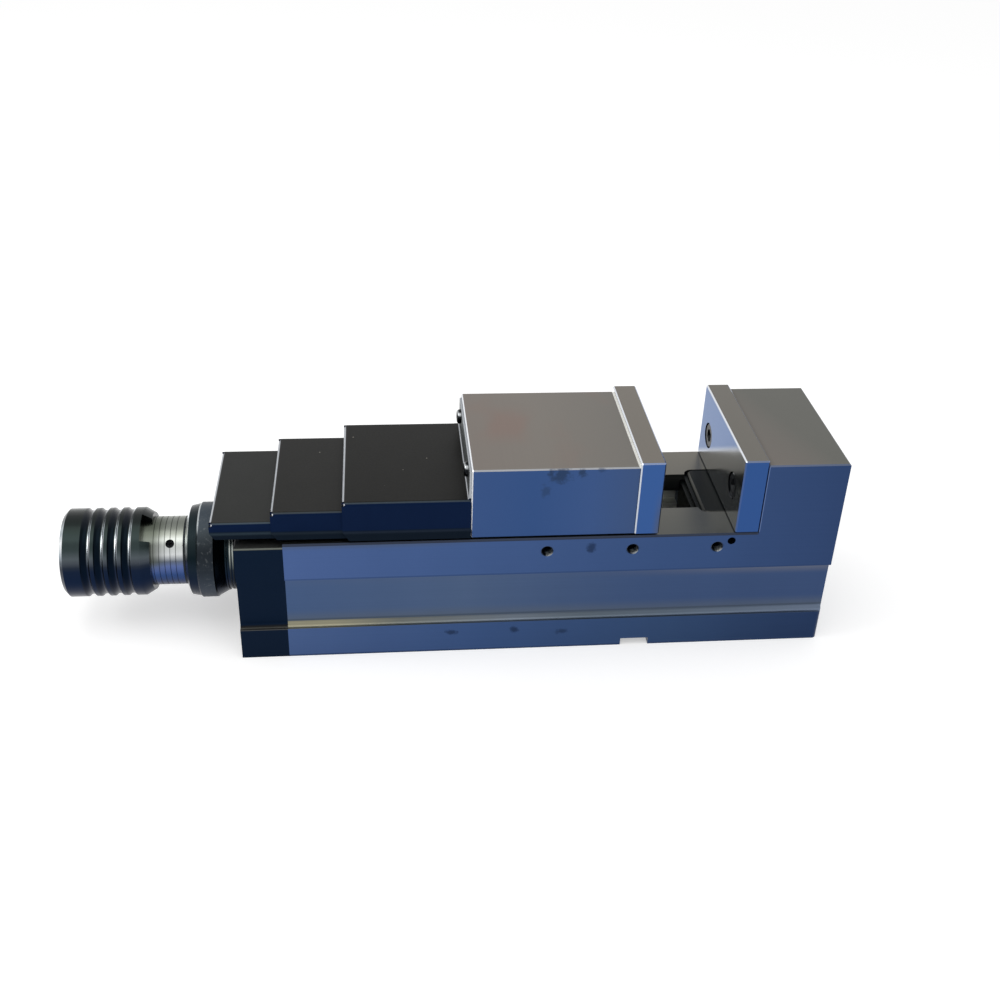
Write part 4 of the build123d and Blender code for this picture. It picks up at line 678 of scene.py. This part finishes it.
moving_plate_look = jaw_plate_steel(
    "moving_plate_steel", 1.0, top_tone=(116, 111, 104), front_tone=(54, 86, 141),
    face_reflection_tone=(112, 120, 136), rail_reflection_tone=(104, 110, 122), inner_edge=(196, 202, 212))
fixed_plate_look = jaw_plate_steel(
    "fixed_plate_steel", 0.0, top_tone=(107, 104, 98), front_tone=(48, 79, 133),
    face_reflection_tone=(58, 97, 151), rail_reflection_tone=(206, 209, 212), inner_edge=(70, 92, 138))
large_cover_look = black_cover(
    "large_cover_sheet", left=-0.1833, side=0.0481, top=0.1113, fold=0.0910,
    top_tone=(32, 32, 31), bend_highlight_tone=(52, 60, 66), fold_highlight_tone=(31, 39, 51))
middle_cover_look = black_cover(
    "middle_cover_sheet", left=-0.2255, side=0.0451, top=0.1036, fold=0.0897,
    top_tone=(38, 38, 37), bend_highlight_tone=(54, 60, 64), fold_highlight_tone=(31, 39, 48))
small_cover_look = black_cover(
    "small_cover_sheet", left=-0.2618, side=0.0432, top=0.0958, fold=0.0891,
    top_tone=(46, 47, 46), bend_highlight_tone=(58, 68, 76), fold_highlight_tone=(42, 53, 62))
screw_look = black_screw("black_oxide_screw")
oiled_screw_look = black_screw("oiled_plate_screw", metallic=0.0, Specular_IOR_Level=0.2)
bright_look = plain_turned("bright_turned_steel", 176, 178, 178)
thread_look = thread_steel()

looks = {
    bed_steel(): ["base"],
    jaw_steel(): ["movable_jaw"],
    moving_plate_look: ["movable_jaw_plate"],
    fixed_plate_look: ["fixed_jaw_plate"],
    support_black(): ["spindle_support_block"],
    bracket_black(): ["rear_bracket"],
    large_cover_look: ["large_cover"],
    middle_cover_look: ["middle_cover"],
    small_cover_look: ["small_cover", "cover_stay"],
    sleeve_black(): ["handle_sleeve"],
    collar_black(): ["thrust_collar"],
    cap_black(): ["bearing_cap"],
    barrel_steel(): ["booster_cylinder"],
    cap_ring_steel(): ["cap_rings"],
    oiled_screw_look: ["fixed_plate_screws"],
    screw_look: ["side_set_screws", "bracket_screws", "stay_screws", "movable_plate_screws",
                 "adjusting_screw", "keeper_screws", "large_cover_screws", "collar_set_screw",
                 "filler_plug"],
    bright_look: ["bracket_dowels", "spindle_nut", "keeper_plates", "pressure_piston",
                  "primary_plunger", "drive_shaft", "lead_screw"],
    plain_turned("spacer_dull_steel", 46, 50, 54): ["spacer_ring"],
    plain_turned("bearing_race_steel", 196, 198, 200, 0.15): [
        "thrust_washer", "fixed_race", "turning_race", "bearing_balls", "pull_down_segment",
        "push_rod", "clutch_balls"],
    plain_turned("spring_steel", 118, 118, 122, 0.35): ["disc_springs", "drive_retaining_ring"],
    plain_turned("cage_brass", 190, 156, 84, 0.3): ["front_bush", "ball_cage"],
    soft_seal(): ["piston_seal", "plunger_seal", "sleeve_wiper"],
}
for look, names in looks.items():
    for name in names:
        mesh = nodes[name].data
        mesh.materials.clear()
        mesh.materials.append(look)


def piece(name, points, faces, look, body, slot):
    """Makes a mesh piece from whole arrays of points and faces, and lets it ride on a body."""
    mesh = bpy.data.meshes.new(name)
    mesh.from_pydata(points.tolist(), [], faces)
    mesh.update()
    mesh.polygons.foreach_set("use_smooth", np.ones(len(mesh.polygons), bool))
    mesh.set_sharp_from_angle(angle=math.radians(SMOOTH_BELOW_DEGREES))
    made = bpy.data.objects.new(name, mesh)
    bpy.context.scene.collection.objects.link(made)
    made.data.materials.append(look)
    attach(made, body)
    return made


def grid_faces(rows, columns):
    """Quads between neighbouring rows of a grid whose last column meets its first."""
    row, column = np.meshgrid(np.arange(rows - 1), np.arange(columns), indexing="ij")
    here, beside = row * columns, (column + 1) % columns
    corners = [here + column, here + beside, here + columns + beside, here + columns + column]
    return np.stack([corner.ravel() for corner in corners], axis=1).tolist()


def turned(profile, steps):
    """A profile of (x, radius) in mm carried round the spindle's line: y = r cos a, z = r sin a.

    The profile begins and ends on the line itself, so each end closes in a fan about one point.
    """
    x, radius = np.array(profile, float).T / 1000
    angle = np.arange(steps) * 2 * math.pi / steps
    inner_x, inner_radius = x[1:-1, None], radius[1:-1, None]
    rings = np.stack([np.broadcast_to(inner_x, (len(x) - 2, steps)), inner_radius * np.cos(angle),
                      SPINDLE_Z + inner_radius * np.sin(angle)], axis=-1).reshape(-1, 3)
    ends = [[x[0], 0, SPINDLE_Z], [x[-1], 0, SPINDLE_Z]]
    here = np.arange(steps)
    after = (here + 1) % steps
    last = len(rings) - steps
    first_fan = np.stack([np.full(steps, len(rings)), after, here], axis=1)
    last_fan = np.stack([np.full(steps, len(rings) + 1), last + here, last + after], axis=1)
    faces = grid_faces(len(x) - 2, steps) + first_fan.tolist() + last_fan.tolist()
    return np.concatenate([rings, ends]), faces


def thread(start, end, lead, root, crest, root_width, crest_width, per_turn):
    """A left-hand thread on the spindle's line: a trapezoid carried along a helix.

    At turn t the trapezoid stands at x = start + lead t and at the angle -2 pi t. Its crest rises
    out of the core over the first turn and sinks into it over the last.
    """
    least_growth = 0.02
    turns = (end - start) / lead
    turn = np.linspace(0, turns, int(turns * per_turn) + 1)[:, None]
    grown = np.clip(np.minimum(turn, turns - turn), least_growth, 1.0)
    across = np.array([-root_width, -crest_width, crest_width, root_width]) / 2
    radius = root + (crest - root) * grown * np.array([0, 1, 1, 0])
    angle = -2 * math.pi * turn
    points = np.stack([start + lead * turn + across, radius * np.cos(angle),
                       SPINDLE_Z + radius * np.sin(angle)], axis=-1).reshape(-1, 3)
    last = len(points) - 4
    caps = [[3, 2, 1, 0], [last, last + 1, last + 2, last + 3]]
    return points, grid_faces(len(turn), 4) + caps


def stud(start, end, radius, place, toward, steps):
    """A round pin from start to end out from a place, along a direction, with a chamfered end."""
    chamfer, end_share = 0.0001, 0.85
    toward = toward / np.linalg.norm(toward)
    side = np.cross(toward, [1, 0, 0])
    angle = np.arange(steps) * 2 * math.pi / steps
    round_line = np.outer(np.cos(angle), [1, 0, 0]) + np.outer(np.sin(angle), side)
    discs = ((start, radius), (end - chamfer, radius), (end, radius * end_share))
    points = np.concatenate([place + out * toward + wide * round_line for out, wide in discs])
    here = np.arange(steps)
    caps = [here[::-1].tolist(), (here + 2 * steps).tolist()]
    return points, grid_faces(len(discs), steps) + caps


# Lead screw: its turned body with the thread's root between the journals, and the thread on it
screw_profile = [(20.0, 0.0), (20.0, 5.2), (-256.5, 5.2), (-256.5, 15.2), (-255.7, 16.0),
                 (-241.5, 16.0), (-241.5, 22.5), (-241.0, 23.0), (-237.0, 23.0), (-236.5, 22.5),
                 (-236.5, 12.9), (-218.0, 12.9), (-218.0, 12.0), (-206.0, 12.0), (-204.0, 9.6),
                 (33.5, 9.6), (35.1, 11.2), (36.8, 11.2), (36.8, 9.0), (58.0, 9.0), (58.8, 8.2),
                 (58.8, 0.0)]
screw_body = piece("lead_screw_body", *turned(screw_profile, steps=96), bright_look, "spindle",
                   "bright_steel")
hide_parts("lead_screw")
screw_thread = thread(start=-0.2065, end=0.0345, lead=THREAD_LEAD, root=0.0094, crest=0.0120,
                      root_width=0.0032, crest_width=0.0016, per_turn=40)
piece("lead_screw_thread", *screw_thread, thread_look, "spindle", "bright_steel")

# Small dark pin that stands out between the spacer ring and the collar
pin_angle = math.radians(41.6)
pin = stud(start=0.0205, end=0.0219, radius=0.00075, place=np.array([-0.2824, 0.0, SPINDLE_Z]),
           toward=np.array([0.0, -math.cos(pin_angle), math.sin(pin_angle)]), steps=24)
piece("stop_pin", *pin, screw_look, "spindle", "screw_black")


# Camera at the photograph's angle
camera_data = bpy.data.cameras.new("camera")
camera_data.lens = 44.2454
camera_data.sensor_width = 36.0
camera_data.sensor_fit = "HORIZONTAL"
camera_data.shift_x = -0.0062211
camera_data.shift_y = -0.0437616
camera = bpy.data.objects.new("camera", camera_data)
camera.location = (-0.16002677, -0.65773412, 0.50564082)
camera.rotation_euler = [math.radians(angle) for angle in (59.46043, -2.03817, -5.58470)]
bpy.context.scene.collection.objects.link(camera)
bpy.context.scene.camera = camera
bpy.context.scene.view_settings.view_transform = "Standard"


def pale_world():
    """White where the camera, metal or glass looks; a softer white as light on matt surfaces."""
    world = bpy.data.worlds.new("pale_room")
    graph = Graph(world)
    level = graph.node("ShaderNodeMapRange", {},
                       {"Value": graph.background_ray(), "To Min": 0.75, "To Max": 1.0})
    sky = graph.node("ShaderNodeBackground", {}, {"Color": (1, 1, 1, 1), "Strength": level})
    graph.node("ShaderNodeOutputWorld", {}, {"Surface": sky})
    bpy.context.scene.world = world


def floor_look():
    """Matt white that keeps shadows, plus a light of its own for camera, metal and glass."""
    own_light = 0.42
    f = Finish("pale_floor", metallic=0.0, roughness=0.9, Specular_IOR_Level=0.0)
    f.feed(Base_Color=(0.72, 0.72, 0.72, 1), Emission_Color=(1, 1, 1, 1),
           Emission_Strength=f.background_ray() * own_light)
    return f.material


def area_lamp(name, place, aim, width, height, power):
    """A rectangular lamp of a power in watts, turned from its place towards its aim."""
    data = bpy.data.lights.new(name, "AREA")
    data.shape = "RECTANGLE"
    data.size = width
    data.size_y = height
    data.energy = power
    lamp = bpy.data.objects.new(name, data)
    lamp.location = place
    away = np.subtract(aim, place)
    flat = math.hypot(away[0], away[1])
    lamp.rotation_euler = (math.atan2(flat, -away[2]), 0.0, math.atan2(-away[0], away[1]))
    bpy.context.scene.collection.objects.link(lamp)


pale_world()
floor_mesh = bpy.data.meshes.new("floor")
edge = 8.0
floor_mesh.from_pydata([(-edge, -edge, 0), (edge, -edge, 0), (edge, edge, 0), (-edge, edge, 0)],
                       [], [(0, 1, 2, 3)])
floor = bpy.data.objects.new("floor", floor_mesh)
floor.data.materials.append(floor_look())
bpy.context.scene.collection.objects.link(floor)
middle = (-0.12, 0.0, 0.07)
area_lamp("window_left", (-1.5, -0.15, 0.75), middle, width=0.7, height=0.9, power=7.0)
area_lamp("ceiling_soft", (-0.2, -0.3, 1.6), middle, width=1.6, height=1.2, power=6.0)
